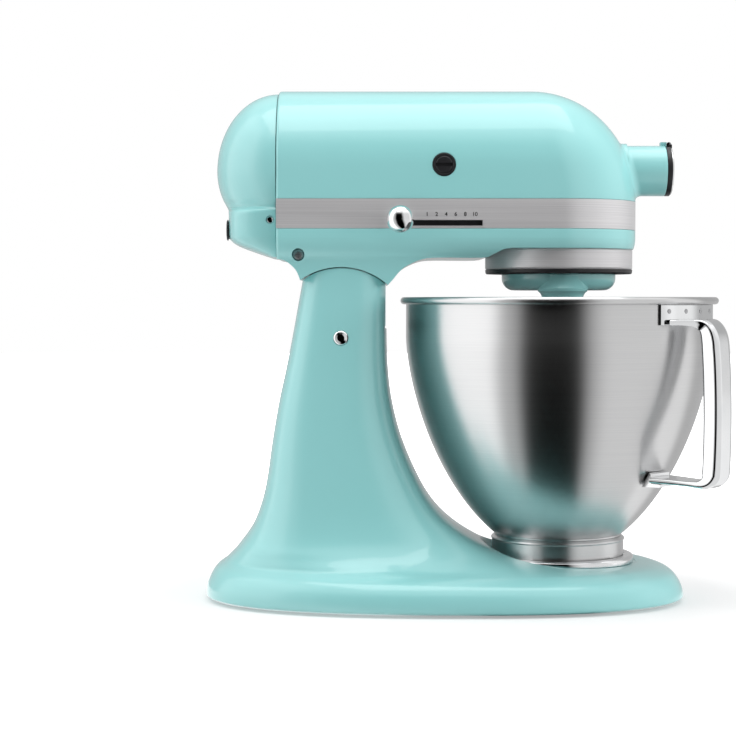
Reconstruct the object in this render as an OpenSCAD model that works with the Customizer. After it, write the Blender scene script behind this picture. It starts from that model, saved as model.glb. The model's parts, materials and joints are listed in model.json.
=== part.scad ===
// Tilt-head stand mixer with a bowl and a flat beater, in millimetres.
// +X points to the attachment hub, +Z up; the origin is on the table under the middle of the base.

/* [Base] */
// Front end of the base
base_front = 165; // [155:1:175]
// Rear end of the base
base_rear = -168; // [-180:1:-158]
// Half the greatest width of the base
base_half_w = 99; // [92:1:106]
// Height of the flat under the bowl plate
base_top = 25; // [24:1:26]
// Height of the rubber feet
foot_h = 2; // [2:0.5:3]

/* [Pedestal and hinge] */
// Distance of the tilt hinge behind the origin
hinge_x = -73.3; // [-75:0.1:-71]
// Height of the tilt hinge
hinge_z = 182.3; // [180:0.1:184]
// Radius of the round top of the pedestal
seam_r = 47.3; // [46:0.1:48]
// Radius of the hinge pin
pin_r = 5; // [4:0.5:6]
// Half the width of the slot between the pedestal's two ears
slot_half_w = 30; // [28:1:32]

/* [Head] */
// Radius of the round back of the head
head_r = 55; // [53:0.5:57]
// Height of the motor and attachment axis
axis_z = 298; // [296:1:300]
// Plane where the rear cover meets the housing
seam_x = -116.7; // [-118:0.1:-115]
// Furthest point of the nose
nose_x = 131.5; // [129:0.5:134]
// Height where the upper and lower housings meet
split_z = 266; // [264:1:268]
// Lower edge of the trim band
band_low = 256; // [254:1:258]
// Upper edge of the trim band
band_high = 276; // [274:1:278]
// Thickness of the trim band
band_t = 0.8; // [0.6:0.1:1]
// Wall of the upper housing
wall = 4; // [3:0.5:5]

/* [Attachment hub] */
// Outer radius of the hub
hub_r = 17.5; // [17.3:0.1:18]
// Radius of the hub's bore
hub_bore_r = 15.9; // [15.5:0.1:16]
// Front end of the hub
hub_x = 152; // [150:1:154]
// Thickness of the hinged hub cover
cover_t = 8; // [6:0.5:9]

/* [Bowl] */
// Distance of the bowl's axis ahead of the origin
bowl_x = 78.3; // [77:0.1:79]
// Outer radius of the rolled rim
rim_r = 110.6; // [109:0.1:112]
// Height of the top of the rim
rim_z = 210; // [208:1:210]
// Outer radius of the bowl's straight wall
bowl_r = 106.6; // [105:0.1:107]
// Height where the straight wall starts to curve in
bowl_curve_z = 182; // [180:1:184]
// Thickness of the bowl's sheet
bowl_t = 1.2; // [1:0.1:1.5]
// Radius of the bowl's foot
bowl_foot_r = 46; // [45:0.5:46.5]
// Angle of the handle from straight ahead
handle_angle = -40; // [-60:5:-30]

/* [Planetary drive] */
// Module of the fixed ring gear and the beater pinion
ring_module = 1.25; // [1.25]
// Teeth of the fixed ring gear
ring_teeth = 64; // [64]
// Teeth of the beater pinion
beater_teeth = 19; // [19]
// Module of the motor-side spur gears
spur_module = 1.5; // [1.5]
// Teeth of the centre gear
centre_teeth = 48; // [48]
// Teeth of the pinion under the worm wheel
drive_teeth = 12; // [12]
// Radius of the planetary disc
planet_r = 39.6; // [38.5:0.1:40]
// Radius of the beater shaft
beater_shaft_r = 6; // [5.5:0.5:6.5]

/* [Flat beater] */
// Half the greatest width of the beater
beater_half_w = 59; // [55:1:59]
// Height of the beater's lowest point
beater_low = 56; // [56:1:60]
// Height of the top of the beater's hub
beater_top = 194; // [190:1:194]
// Radius of the beater's rod
beater_rod_r = 3.2; // [2.5:0.1:3.5]

/* [Speed lever] */
// Place of the lever along the head when it is off
lever_x = -33.6; // [-35:0.1:-32]
// Height of the lever's slot
lever_z = 259.7; // [259:0.1:260]
// Travel of the lever
lever_travel = 50; // [48:1:52]

/* [Hidden] */

fit = 0.05;
gap = 0.3;
seam_gap = 0.6;
ring_points = 48;
nose_steps = 24;
// Distance between the centre shaft and the beater shaft
beater_offset = ring_module * (ring_teeth - beater_teeth) / 2;
// Worm and wheel: radii at the tips and the distance between their axes
worm_tip_r = 6.8;
wheel_tip_r = 20.8;
wheel_y = worm_tip_r + wheel_tip_r + gap;
spur_distance = spur_module * (centre_teeth + drive_teeth) / 2;
wheel_x = bowl_x - sqrt(pow(spur_distance, 2) - pow(wheel_y, 2));
mesh_angle = atan2(wheel_y, wheel_x - bowl_x);
spur_z = 262;
spur_h = 10;
underside_z = 243;
drip_ring_r = 51.2;
brush_x = -4;
brush_z = axis_z + 0.7;
cover_pivot = [154.2, axis_z + 18];
bore_back_x = 132;
cover_pin_r = 1;
cover_barrel_r = 1.9;
lock_travel = 12;
lock_z = 211.4;
lock_rest_x = -62.7;
aqua = "#9FDAD8";

// ---------- Shared shapes ----------

function signed_power(v, e) = sign(v) * pow(abs(v), e);

// A squared oval at height z that runs from x0 to x1 and is widest at mid
function oval(z, x0, x1, mid, half_w, power) = [
    for (i = [0:ring_points - 1])
        let (
            t = 360 * i / ring_points,
            c = signed_power(cos(t), 2 / power),
            s = signed_power(sin(t), 2 / power)
        )
        [mid + c * (c > 0 ? x1 - mid : mid - x0), half_w * s, z]
];

// Straight sides and a half-round nose at height z
function bullet(z, half_w, tip, back) = [
    for (i = [0:nose_steps])
        let (t = -90 + 180 * i / nose_steps)
        [tip - half_w + half_w * cos(t), half_w * sin(t), z],
    [back, half_w, z],
    [back, -half_w, z]
];

// A half oval at height z that bulges backwards from the plane x = front
function half_oval(z, depth, half_w, power, front) = [
    for (i = [0:ring_points / 2])
        let (t = 90 + 360 * i / ring_points)
        [
            front + depth * signed_power(cos(t), 2 / power),
            half_w * signed_power(sin(t), 2 / power),
            z
        ]
];

// Closed solid through a stack of rings that turn the same way, lowest ring first
module loft(rings) {
    n = len(rings[0]);
    last = len(rings) - 1;
    polyhedron(
        points = [for (ring = rings) each ring],
        faces = [
            [for (i = [0:n - 1]) i],
            for (k = [0:last - 1], i = [0:n - 1])
                let (a = k * n + i, b = k * n + (i + 1) % n)
                each [[a, a + n, b + n], [a, b + n, b]],
            [for (i = [n - 1:-1:0]) last * n + i]
        ]
    );
}

// Round bar along a path of points in the plane y = 0
module bar(path, r) {
    for (k = [1:len(path) - 1]) hull()
        for (point = [path[k - 1], path[k]])
            translate([point[0], 0, point[1]]) sphere(r = r, $fn = 12);
}

function quad_curve(a, b, c, n) = [
    for (i = [0:n]) let (t = i / n) (1 - t) * (1 - t) * a + 2 * t * (1 - t) * b + t * t * c
];

module along_x(x, y, z) {
    translate([x, y, z]) rotate([0, 90, 0]) children();
}

module along_y(x, y, z) {
    translate([x, y, z]) rotate([-90, 0, 0]) children();
}

module tube(outer_r, inner_r, h) {
    difference() {
        cylinder(h = h, r = outer_r, $fn = 96);
        translate([0, 0, -1]) cylinder(h = h + 2, r = inner_r, $fn = 96);
    }
}

// Outline of a straight-flanked gear; width is the tooth's share of the pitch at the pitch line
function gear_outline(teeth, pitch_r, outer, inner, width) = [
    for (i = [0:teeth - 1], corner = [[-1, inner], [-1, outer], [1, outer], [1, inner]])
        let (
            pitch = 360 / teeth,
            lean = corner[1] == outer ? 0.55 : 1.35,
            r = pitch_r + corner[1],
            t = i * pitch + corner[0] * pitch * width * lean / 2
        )
        [r * cos(t), r * sin(t)]
];

module gear(teeth, mod, h) {
    linear_extrude(h)
        polygon(gear_outline(teeth, teeth * mod / 2, mod * 0.9, -mod * 1.2, 0.42));
}

// ---------- Stand ----------

// One row per height: height, rear, front, widest place, half width, squareness
stand_rows = [
    [foot_h, base_rear + 3, base_front - 3, 10, base_half_w - 2.5, 2.5],
    [4.5, base_rear, base_front, 10, base_half_w, 2.5],
    [10, base_rear + 0.5, base_front - 1.4, 10, base_half_w - 0.3, 2.5],
    [15, base_rear + 2.5, base_front - 4, 10, base_half_w - 1.5, 2.5],
    [19.5, base_rear + 5, base_front - 8, 8, base_half_w - 4.5, 2.5],
    [22.5, base_rear + 7.5, base_front - 15, 4, base_half_w - 8.5, 2.5],
    [24.5, base_rear + 10, base_front - 24, 0, base_half_w - 12.5, 2.5],
    [25.8, base_rear + 12, 124, -8, 83, 2.5],
    [27.5, -154, 98, -20, 79.5, 2.5],
    [30, -151.5, 70, -32, 76, 2.6],
    [33.5, -148, 46, -42, 72, 2.8],
    [38, -144.5, 30, -50, 68.5, 3],
    [44, -140, 18, -56, 65, 3.1],
    [52, -135, 6, -60, 62.2, 3.2],
    [62, -130.8, -5, -64, 60, 3.3],
    [74, -127.2, -14, -67, 58.3, 3.4],
    [88, -124.5, -21.5, -70, 56.8, 3.5],
    [104, -122.3, -28.5, -73, 55.3, 3.6],
    [120, -119.8, -34, -75, 53.9, 3.7],
    [140, -116.2, -38.6, -76, 52.1, 3.8],
    [160, -111.8, -41, -76, 50.4, 3.9],
    [182, -107.4, -42, -75, 48.7, 4],
    [208, -102.7, -42, -73, 47, 4],
    [232, -98.4, -41.6, -70, 46, 4]
];

// Shallow hollows under the casting, each inside a web of ribs, and the pads that the feet sit on
pocket_pitch = 36;
pocket_size = 30;
pocket_top = 5.5;
foot_places = [[118, 52], [118, -52], [-132, 44], [-132, -44], [0, 0]];
foot_r = 9;

module underside_pockets() {
    difference() {
        for (column = [-3:3], row = [-1.5:1:1.5]) {
            x = -18 + column * pocket_pitch;
            y = row * pocket_pitch;
            if (abs(row) < 1 || abs(x) < 100)
                translate([x - pocket_size / 2, y - pocket_size / 2, 0])
                    cube([pocket_size, pocket_size, pocket_top]);
        }
        for (place = foot_places)
            translate([place[0], place[1], -1]) cylinder(h = 20, r = foot_r + 2, $fn = 48);
    }
}

module lock_slots() {
    translate([-73, slot_half_w - 1, 206.8]) cube([28, 5.2, 9.4]);
    translate([lock_rest_x - 5.6, slot_half_w, lock_z - 3.2]) cube([lock_travel + 6.4, 30, 6.4]);
}

module stand_casting() {
    color(aqua) difference() {
        intersection() {
            loft([for (row = stand_rows) oval(row[0], row[1], row[2], row[3], row[4], row[5])]);
            union() {
                translate([-200, -120, 0]) cube([400, 240, 200]);
                along_y(hinge_x, -120, hinge_z) cylinder(h = 240, r = seam_r, $fn = 96);
            }
        }
        translate([bowl_x, 0, base_top]) cylinder(h = 60, r = 54.6, $fn = 96);
        underside_pockets();
        translate([hinge_x - 21.7, -slot_half_w, 158]) cube([44, 2 * slot_half_w, 90]);
        translate([hinge_x + 22, -slot_half_w, 188]) cube([20, 2 * slot_half_w, 60]);
        along_y(hinge_x, -120, hinge_z) cylinder(h = 240, r = pin_r, $fn = 48);
        translate([hinge_x + 27, 0, 160]) cylinder(h = 40, r = 3, $fn = 32);
        lock_slots();
        for (side = [-1, 1], x = [-30, 30])
            translate([bowl_x + x, side * 22, base_top - 9]) cylinder(h = 12, r = 2.5, $fn = 24);
    }
}

module rubber_feet() {
    color("#3A3D40")
        for (place = foot_places)
            translate([place[0], place[1], 0]) cylinder(h = foot_h, r = foot_r, $fn = 48);
}

module clamp_plate() {
    color("silver") translate([bowl_x, 0, base_top]) difference() {
        rotate_extrude($fn = 96) union() {
            square([50, 2]);
            translate([48.5, 0]) square([4.3, 3.5]);
            translate([50.65, 3.5]) circle(r = 2.15, $fn = 32);
            translate([46.7, 4.6]) square([4, 1.05]);
        }
        for (k = [0:2]) rotate([0, 0, 120 * k + 40])
            translate([0, 0, 4]) linear_extrude(3) intersection() {
                circle(r = 48.45, $fn = 96);
                polygon([[0, 0], [60, -46], [60, 46]]);
            }
        for (side = [-1, 1], x = [-30, 30])
            translate([x, side * 22, -1]) cylinder(h = 4, r = 2.5, $fn = 24);
    }
}

module clamp_plate_screws() {
    color("silver")
        for (side = [-1, 1], x = [-30, 30])
            translate([bowl_x + x, side * 22, base_top - 8]) union() {
                cylinder(h = 10, r = 2.5, $fn = 24);
                translate([0, 0, 10]) cylinder(h = 0.8, r = 4.5, $fn = 32);
            }
}

module hinge_pin() {
    color("silver") difference() {
        along_y(hinge_x, -49.6, hinge_z) cylinder(h = 99.2, r = pin_r, $fn = 48);
        for (side = [-1, 1])
            translate([hinge_x - 0.7, side * 50 - 1.5, hinge_z - 6]) cube([1.4, 3, 12]);
    }
}

module height_adjust_screw() {
    color("silver") translate([hinge_x + 27, 0, 162]) difference() {
        cylinder(h = 28, r = 3, $fn = 32);
        translate([-4, -0.6, 27]) cube([8, 1.2, 2]);
    }
}

module lock_slide() {
    color("gray") union() {
        translate([lock_rest_x - 3, slot_half_w - 5.4, lock_z - 3]) cube([6, 6, 6]);
        translate([lock_rest_x - 9, slot_half_w + 0.2, lock_z - 4.2]) cube([14, 3.6, 8.4]);
        along_y(lock_rest_x - 2.3, slot_half_w + 3, lock_z) cylinder(h = 22, r = 2.8, $fn = 32);
    }
}

module lock_knob() {
    color("silver") along_y(lock_rest_x - 2.3, 50, lock_z) rotate_extrude($fn = 64)
        polygon([[2.8, 0], [6, 0], [7.4, 2], [7.6, 8], [6.6, 11.4], [4, 13], [0, 13], [0, 5], [2.8, 5]]);
}

// ---------- Bowl ----------

// Outer radius of the bowl at height z
function bowl_radius(z) =
    z >= bowl_curve_z ? bowl_r : bowl_r * sqrt(1 - pow((bowl_curve_z - z) / 154.5, 1.6));

bowl_bottom = 45;
bowl_steps = 26;
bowl_heights = [
    for (i = [0:bowl_steps]) bowl_curve_z - (bowl_curve_z - bowl_bottom) * sin(90 * i / bowl_steps)
];

module bowl_shell() {
    color("lightgray") translate([bowl_x, 0, 0]) rotate_extrude($fn = 96) union() {
        polygon([
            [0, bowl_bottom - bowl_t],
            [bowl_radius(bowl_bottom), bowl_bottom - bowl_t],
            for (i = [bowl_steps:-1:0]) [bowl_radius(bowl_heights[i]), bowl_heights[i]],
            [bowl_r, rim_z - 4],
            [bowl_r - bowl_t, rim_z - 4],
            for (i = [0:bowl_steps]) [bowl_radius(bowl_heights[i]) - bowl_t, bowl_heights[i]],
            [0, bowl_bottom]
        ]);
        translate([rim_r - 2.5, rim_z - 2.5]) circle(r = 2.5, $fn = 32);
    }
}

module bowl_foot() {
    color("lightgray") translate([bowl_x, 0, 0]) union() {
        rotate_extrude($fn = 96) polygon([
            [bowl_foot_r - 1.6, base_top + 2.5],
            [bowl_foot_r, base_top + 2.5],
            [bowl_foot_r, 41.5],
            [bowl_foot_r - 1.2, 43.8],
            [bowl_foot_r - 8, 43.8],
            [bowl_foot_r - 8, 42.2],
            [bowl_foot_r - 1.6, 41]
        ]);
        for (k = [0:2]) rotate([0, 0, 120 * k - 20]) intersection() {
            translate([0, 0, base_top + 2.5]) tube(48, bowl_foot_r - 0.5, 1.8);
            linear_extrude(60) polygon([[0, 0], [60, -15], [60, 15]]);
        }
    }
}

// Middle line of the handle: distance from the bowl's axis, height and half the thickness
handle_path = concat(
    [[107, 193.4, 2], [113, 193.4, 2]],
    quad_curve([117, 193.3, 2.3], [125, 192.6, 4], [126.2, 180, 5], 7),
    quad_curve([126.6, 174, 5], [129, 135, 5], [127.4, 98, 5], 6),
    quad_curve([127, 93, 5], [126, 86, 4], [118, 85.8, 2.6], 6),
    [[110, 86.2, 2], [96, 86.8, 2], [83.3, 87.2, 2]]
);
bracket_t = 1.6;
grip_half_w = 10.5;

// The handle's outline in its own plane: the path pushed out to one side by half the thickness
function pushed(path, side) = [
    for (k = [0:len(path) - 1])
        let (
            step = path[min(k + 1, len(path) - 1)] - path[max(k - 1, 0)],
            u = [step[0], step[1]] / norm([step[0], step[1]])
        )
        [path[k][0], path[k][1]] + side * path[k][2] * [-u[1], u[0]]
];

module in_handle_plane(y, h) {
    translate([bowl_x, 0, 0]) rotate([0, 0, handle_angle]) translate([0, y, 0])
        rotate([90, 0, 0]) translate([0, 0, -h]) linear_extrude(h) children();
}

// Plan of the handle between two heights: as wide as its foot near the bowl, then as wide as the grip
module handle_plan(low, high, foot_x, foot_half_w, waist_x) {
    w = grip_half_w;
    translate([bowl_x, 0, low]) rotate([0, 0, handle_angle]) linear_extrude(high - low) polygon([
        [foot_x - 4, -foot_half_w], [foot_x + 2, -foot_half_w], [waist_x, -w], [140, -w],
        [140, w], [waist_x, w], [foot_x + 2, foot_half_w], [foot_x - 4, foot_half_w]
    ]);
}

module bowl_handle() {
    outer = pushed(handle_path, 1);
    inner = pushed(handle_path, -1);
    n = len(inner);
    color("silver") difference() {
        intersection() {
            in_handle_plane(-40, 80)
                polygon(concat(outer, [for (i = [n - 1:-1:0]) inner[i]]));
            union() {
                handle_plan(140, 210, 107, 30, 121);
                handle_plan(70, 141, 83, 15, 112);
            }
        }
        translate([bowl_x, 0, 150]) cylinder(h = 60, r = bowl_r + bracket_t, $fn = 96);
    }
}

module handle_brackets() {
    foot = [
        [bowl_radius(82.6) + 0.4, 82.6], [90, 82.8], [90, 84.9], [83, 85.1],
        [83, 91.4], [bowl_radius(92.4) + 0.5, 92.4]
    ];
    color("silver") {
        translate([bowl_x, 0, 191.5]) rotate([0, 0, handle_angle]) intersection() {
            tube(bowl_r + bracket_t, bowl_r, 13.4);
            translate([0, 0, -1]) linear_extrude(20) polygon([[0, 0], [140, -45], [140, 45]]);
        }
        in_handle_plane(-12, 24) polygon(foot);
    }
}

module handle_rivets() {
    color("gray") translate([bowl_x, 0, 0])
        for (angle = [-14, -5, 5, 14]) rotate([0, 0, handle_angle + angle])
            along_x(bowl_r + bracket_t, 0, 200.6) cylinder(h = 0.5, r = 1.6, $fn = 24);
}

// ---------- Head housings ----------

// Furthest point of the nose at height z, for an outline shrunk by inset
function nose_at(z, inset) =
    z <= band_high ? nose_x - inset
        : 58.5 + (73 - inset) * sqrt(max(0, 1 - pow((z - band_high) / (77 - inset), 2)));

// Rings of the round upper head above the axis, shrunk by inset
function crown_rings(inset, back) = [
    for (a = [0, 8, 16, 24, 32, 40, 48, 56, 63, 70, 76, 82, 87])
        let (z = axis_z + (head_r - inset) * sin(a))
        bullet(z, (head_r - inset) * cos(a), nose_at(z, inset), back)
];

module motor_housing() {
    color(aqua) difference() {
        union() {
            difference() {
                loft(concat(
                    [
                        bullet(split_z, head_r - band_t, nose_x - band_t, seam_x),
                        bullet(band_high, head_r - band_t, nose_x - band_t, seam_x),
                        bullet(band_high + 0.01, head_r, nose_x, seam_x),
                        bullet(287, head_r, nose_at(287, 0), seam_x)
                    ],
                    crown_rings(0, seam_x)
                ));
                loft(concat(
                    [bullet(split_z - 1, head_r - wall, nose_x - wall, seam_x - 1)],
                    crown_rings(wall, seam_x - 1)
                ));
            }
            along_x(110, 0, axis_z) cylinder(h = 16, r = 19, $fn = 96);
            along_x(120, 0, axis_z) cylinder(h = hub_x - 120, r = hub_r, $fn = 96);
            translate([hub_x - 6, -3, cover_pivot[1] - cover_barrel_r])
                cube([8.2, 6, 2 * cover_barrel_r]);
            along_y(cover_pivot[0], -3, cover_pivot[1]) cylinder(h = 6, r = cover_barrel_r, $fn = 48);
            along_y(142, 16.5, axis_z) cylinder(h = 5, r = 7, $fn = 48);
        }
        along_x(bore_back_x, 0, axis_z) cylinder(h = 40, r = hub_bore_r, $fn = 96);
        along_x(122, 0, axis_z) cylinder(h = 20, r = 14, $fn = 96);
        along_x(100, 0, axis_z) cylinder(h = 40, r = 10, $fn = 64);
        along_y(brush_x, -60, brush_z) cylinder(h = 120, r = 7.9, $fn = 64);
        along_y(142, 15, axis_z) cylinder(h = 10, r = 3 + fit, $fn = 32);
        along_y(cover_pivot[0], -10, cover_pivot[1])
            cylinder(h = 20, r = cover_pin_r + fit, $fn = 32);
    }
}

module hinge_lug() {
    stalk = [[0, 0], [18, 49], [30.3, 44], [30.3, 8], [17, 8], [12, 0]];
    difference() {
        union() {
            along_y(hinge_x, -29.5, hinge_z) cylinder(h = 59, r = 20, $fn = 96);
            translate([hinge_x, 29.5, hinge_z]) rotate([90, 0, 0])
                linear_extrude(59) polygon(stalk);
        }
        along_y(hinge_x, 24.4, hinge_z) tube(36.5, 25.5, 8);
        translate([lock_rest_x - 3.4, 24.4, lock_z - 3.5]) cube([lock_travel + 6.8, 8, 7]);
    }
}

module gear_housing() {
    neck = [
        [seam_x - 5, split_z + 5], [seam_x - 5, 236.8], [-112, 235], [-108.7, 233], [-104, 228.5],
        [-101.4, 223], [-100, 217], [-43, 216], [-41.6, 218], [-38, 222], [-33.5, 227.4],
        [-28, 231.5], [-18.6, 235.4], [-8, 236.5], [22, 236.5], [29, 238.6],
        [36, 242], [42, underside_z], [140, underside_z], [140, split_z + 5]
    ];
    lower_rows = [
        [212, 8.5, 8], [225, 8, 8], [233, 7, 6], [237, 5.4, 4.6], [240, 3, 2.8],
        [243, 1.4, 1.4], [246.5, 0.4, 0.4], [250, 0, 0], [band_low, 0, 0],
        [band_low + 0.01, band_t, band_t], [split_z, band_t, band_t]
    ];
    color(aqua) difference() {
        union() {
            difference() {
                intersection() {
                    loft([for (row = lower_rows)
                        bullet(row[0], head_r - row[1], nose_x - row[2], seam_x)]);
                    translate([0, 60, 0]) rotate([90, 0, 0]) linear_extrude(120) polygon(neck);
                }
                along_y(hinge_x, -70, hinge_z)
                    cylinder(h = 140, r = seam_r + seam_gap, $fn = 96);
                loft([
                    bullet(247.5, head_r - 5.5, nose_x - 5.5, seam_x + 4.5),
                    bullet(split_z + 1, head_r - 5, nose_x - 5, seam_x + 4.5)
                ]);
            }
            hinge_lug();
            translate([bowl_x, 0, underside_z]) cylinder(h = 11, r = 14, $fn = 64);
            translate([wheel_x, wheel_y, underside_z + 2]) cylinder(h = 11, r = 9, $fn = 48);
        }
        along_y(hinge_x, -40, hinge_z) cylinder(h = 80, r = 7.5, $fn = 64);
        translate([bowl_x, 0, 200]) cylinder(h = underside_z - 200, r = drip_ring_r + fit, $fn = 96);
        translate([bowl_x, 0, 230]) cylinder(h = 40, r = 10, $fn = 64);
        translate([wheel_x, wheel_y, underside_z + 6]) cylinder(h = 20, r = 4 + fit, $fn = 48);
        translate([lever_x - 2.5, -60, lever_z - 2.4]) cube([lever_travel + 8.5, 20, 4.8]);
        for (side = [-1, 1])
            along_y(-102, side * 51 - 6, 238.5) cylinder(h = 12, r = 4.2, $fn = 48);
    }
}

// One row per height: height, depth behind the seam, half width, squareness
cover_rows = [
    [237, 5, 42, 3], [241, 17, 45, 3.2], [245, 27.5, 47, 3.4], [248.5, 32.6, 48.2, 3.4],
    [252, 34.4, 49, 3.4], [262, 34.6, 50, 3.4], [268, 34.8, 50.6, 3.2]
];
dome_depth = 43.4;
dome_r = 54;
dome_z = 297;

function dome_row(z, low_r, inset) =
    let (k = sqrt(max(0, 1 - pow((z - dome_z) / (low_r - inset), 2))))
    [z, (dome_depth - inset) * k, (dome_r - inset) * (z < dome_z ? sqrt(k) : k), 2];

module rear_cover() {
    dome = concat(
        [for (a = [-34, -26, -18, -9]) dome_row(dome_z + 46 * sin(a), 46, 0)],
        [for (a = [0, 9, 18, 27, 36, 45, 54, 62, 70, 77, 83, 87]) dome_row(dome_z + dome_r * sin(a), dome_r, 0)]
    );
    hollow = concat(
        [[249, 27, 44, 3.2, 0], [262, 30.6, 46, 3.2, 0], [268, 31, 46.6, 3, 0]],
        [for (a = [-26, -12]) dome_row(dome_z + 42 * sin(a), 46, 3.5)],
        [for (a = [0, 15, 30, 45, 60, 72, 82]) dome_row(dome_z + (dome_r - 3.5) * sin(a), dome_r, 3.5)]
    );
    color(aqua) difference() {
        loft([for (row = concat(cover_rows, dome)) half_oval(row[0], row[1], row[2], row[3], seam_x)]);
        loft([for (row = hollow) half_oval(row[0], row[1], row[2], row[3], seam_x + 0.5)]);
        along_x(-160, -20, 256) cylinder(h = 30, r = 6, $fn = 48);
        for (side = [-1, 1])
            along_y(-121, side * 50 - 6, 262) cylinder(h = 12, r = 2.6, $fn = 32);
    }
}

module rear_cover_screws() {
    color("silver")
        for (side = [-1, 1])
            along_y(-121, side * 48.9 - 3.1, 262) cylinder(h = 6.2, r = 2.6, $fn = 32);
}

module housing_screws() {
    color("silver")
        for (side = [-1, 1])
            along_y(-102, side * 46.5 - 1.5, 238.5) difference() {
                cylinder(h = 3, r = 4.1, $fn = 48);
                translate([0, 0, side > 0 ? 3 : 0]) cylinder(h = 2, r = 2, $fn = 6, center = true);
            }
}

module band_outline(half_w, tip, back) {
    union() {
        translate([back, -half_w]) square([tip - half_w - back, 2 * half_w]);
        translate([tip - half_w, 0]) circle(r = half_w, $fn = 96);
    }
}

module trim_band() {
    color("silver") difference() {
        translate([0, 0, band_low + 0.05]) linear_extrude(band_high - band_low - 0.1) difference() {
            band_outline(head_r, nose_x, seam_x);
            band_outline(head_r - band_t, nose_x - band_t, seam_x - 1);
        }
        translate([lever_x - 2.5, -60, lever_z - 2.4]) cube([lever_travel + 8.5, 20, 4.8]);
    }
}

module hinge_bush() {
    color("goldenrod")
        for (y = [-29.5, 17.5])
            along_y(hinge_x, y, hinge_z) tube(7.5, pin_r + fit, 12);
}

module drip_ring() {
    color("silver") translate([bowl_x, 0, 229]) tube(drip_ring_r, 49.4, underside_z - 229);
}

module drip_ring_lip() {
    color("#202224") translate([bowl_x, 0, 226]) rotate_extrude($fn = 96)
        polygon([[47, 1.5], [48, 0.4], [50.4, 0], [51, 0.8], [drip_ring_r, 3], [47, 3]]);
}

module ring_gear() {
    pitch_r = ring_module * ring_teeth / 2;
    color("gray") translate([bowl_x, 0, 231]) difference() {
        cylinder(h = underside_z - 231, r = 49.4, $fn = 96);
        translate([0, 0, -1]) linear_extrude(20)
            polygon(gear_outline(ring_teeth, pitch_r, ring_module * 1.2, -ring_module * 0.8, 0.58));
    }
}

module centre_bushing() {
    color("goldenrod") translate([bowl_x, 0, underside_z - 2]) tube(10, 7 + fit, 13);
}

// ---------- Motor ----------

module bracket_disc(x, t) {
    along_x(x, 0, axis_z) difference() {
        cylinder(h = t, r = 49.5, $fn = 96);
        translate([0, 0, -1]) cylinder(h = t + 2, r = 8, $fn = 48);
        for (a = [45:90:315]) rotate([0, 0, a]) translate([28, 0, -1])
            cylinder(h = t + 2, r = 9, $fn = 48);
    }
    along_x(x, 0, axis_z) tube(8, 5 + fit, t);
}

module motor_rear_bracket() {
    color("darkgray") bracket_disc(-112, 4);
}

module motor_front_bracket() {
    color("darkgray") bracket_disc(14, 5);
}

module worm_bracket() {
    color("darkgray") difference() {
        union() {
            translate([19, 14, 306]) cube([wheel_x - 5, 28, 4]);
            translate([wheel_x, wheel_y, 306]) cylinder(h = 4, r = 11, $fn = 64);
            translate([19, 14, 300]) cube([2, 28, 8]);
        }
        translate([wheel_x, wheel_y, 300]) cylinder(h = 20, r = 4 + fit, $fn = 48);
    }
}

module stator_core() {
    color("dimgray") along_x(-78, 0, axis_z) difference() {
        intersection() {
            cylinder(h = 46, r = 46, $fn = 96);
            translate([-46, -42, 0]) cube([92, 84, 46]);
        }
        translate([0, 0, -1]) cylinder(h = 48, r = 25.2, $fn = 96);
        for (side = [-1, 1]) translate([-14, side * 33 - 5, -1]) cube([28, 10, 48]);
    }
}

module field_windings() {
    color("#B5651D")
        for (x = [-90, -32], side = [-1, 1]) intersection() {
            along_x(x, 0, axis_z) tube(38, 27, 12);
            translate([x, -28, side > 0 ? axis_z + 10 : axis_z - 50]) cube([12, 56, 40]);
        }
}

module brush_holders() {
    color("#2B2B2B")
        for (side = [-1, 1]) along_y(brush_x, side * 33 - 15, brush_z) tube(7.8, 5, 30);
}

module carbon_brushes() {
    color("#303030")
        for (side = [-1, 1])
            along_y(brush_x, side * 30 - 17.6, brush_z) cylinder(h = 35.2, r = 5, $fn = 32);
}

module brush_caps() {
    color("#202224")
        for (side = [-1, 1]) along_y(brush_x, side * 52 - 4, brush_z) difference() {
            cylinder(h = 8, r = 7.8, $fn = 64);
            translate([-9, -1.1, side > 0 ? 6.8 : -1]) cube([18, 2.2, 2.2]);
        }
}

module speed_control_board() {
    color("#2E6B3E") union() {
        translate([-120, -26, 262]) cube([2.4, 52, 24]);
        along_x(-118, -14, 274) cylinder(h = 5.9, r = 7, $fn = 48);
        translate([-118, 6, 266]) cube([5.9, 14, 12]);
    }
}

module cord_grommet() {
    color("#202224") along_x(-153.6, -20, 256) difference() {
        union() {
            cylinder(h = 9, r = 6, $fn = 48);
            cylinder(h = 2.2, r = 7.5, $fn = 48);
        }
        translate([0, 0, -1]) cylinder(h = 12, r = 3.6, $fn = 48);
    }
}

module armature_shaft() {
    color("silver") union() {
        along_x(-112, 0, axis_z) cylinder(h = 172, r = 5, $fn = 48);
        along_x(30, 0, axis_z) cylinder(h = 26, r = 5.8, $fn = 48);
        for (k = [0:5]) along_x(31 + k * 4.2, 0, axis_z)
            cylinder(h = 2.2, r = worm_tip_r, $fn = 48);
    }
}

module armature_core() {
    color("dimgray") along_x(-80, 0, axis_z) difference() {
        union() {
            cylinder(h = 50, r = 24.6, $fn = 96);
            translate([0, 0, -8]) cylinder(h = 68, r = 19, $fn = 64);
        }
        translate([0, 0, -20]) cylinder(h = 90, r = 5, $fn = 48);
        for (a = [0:30:330]) rotate([0, 0, a]) translate([20, -1.5, -1]) cube([8, 3, 52]);
    }
}

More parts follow.
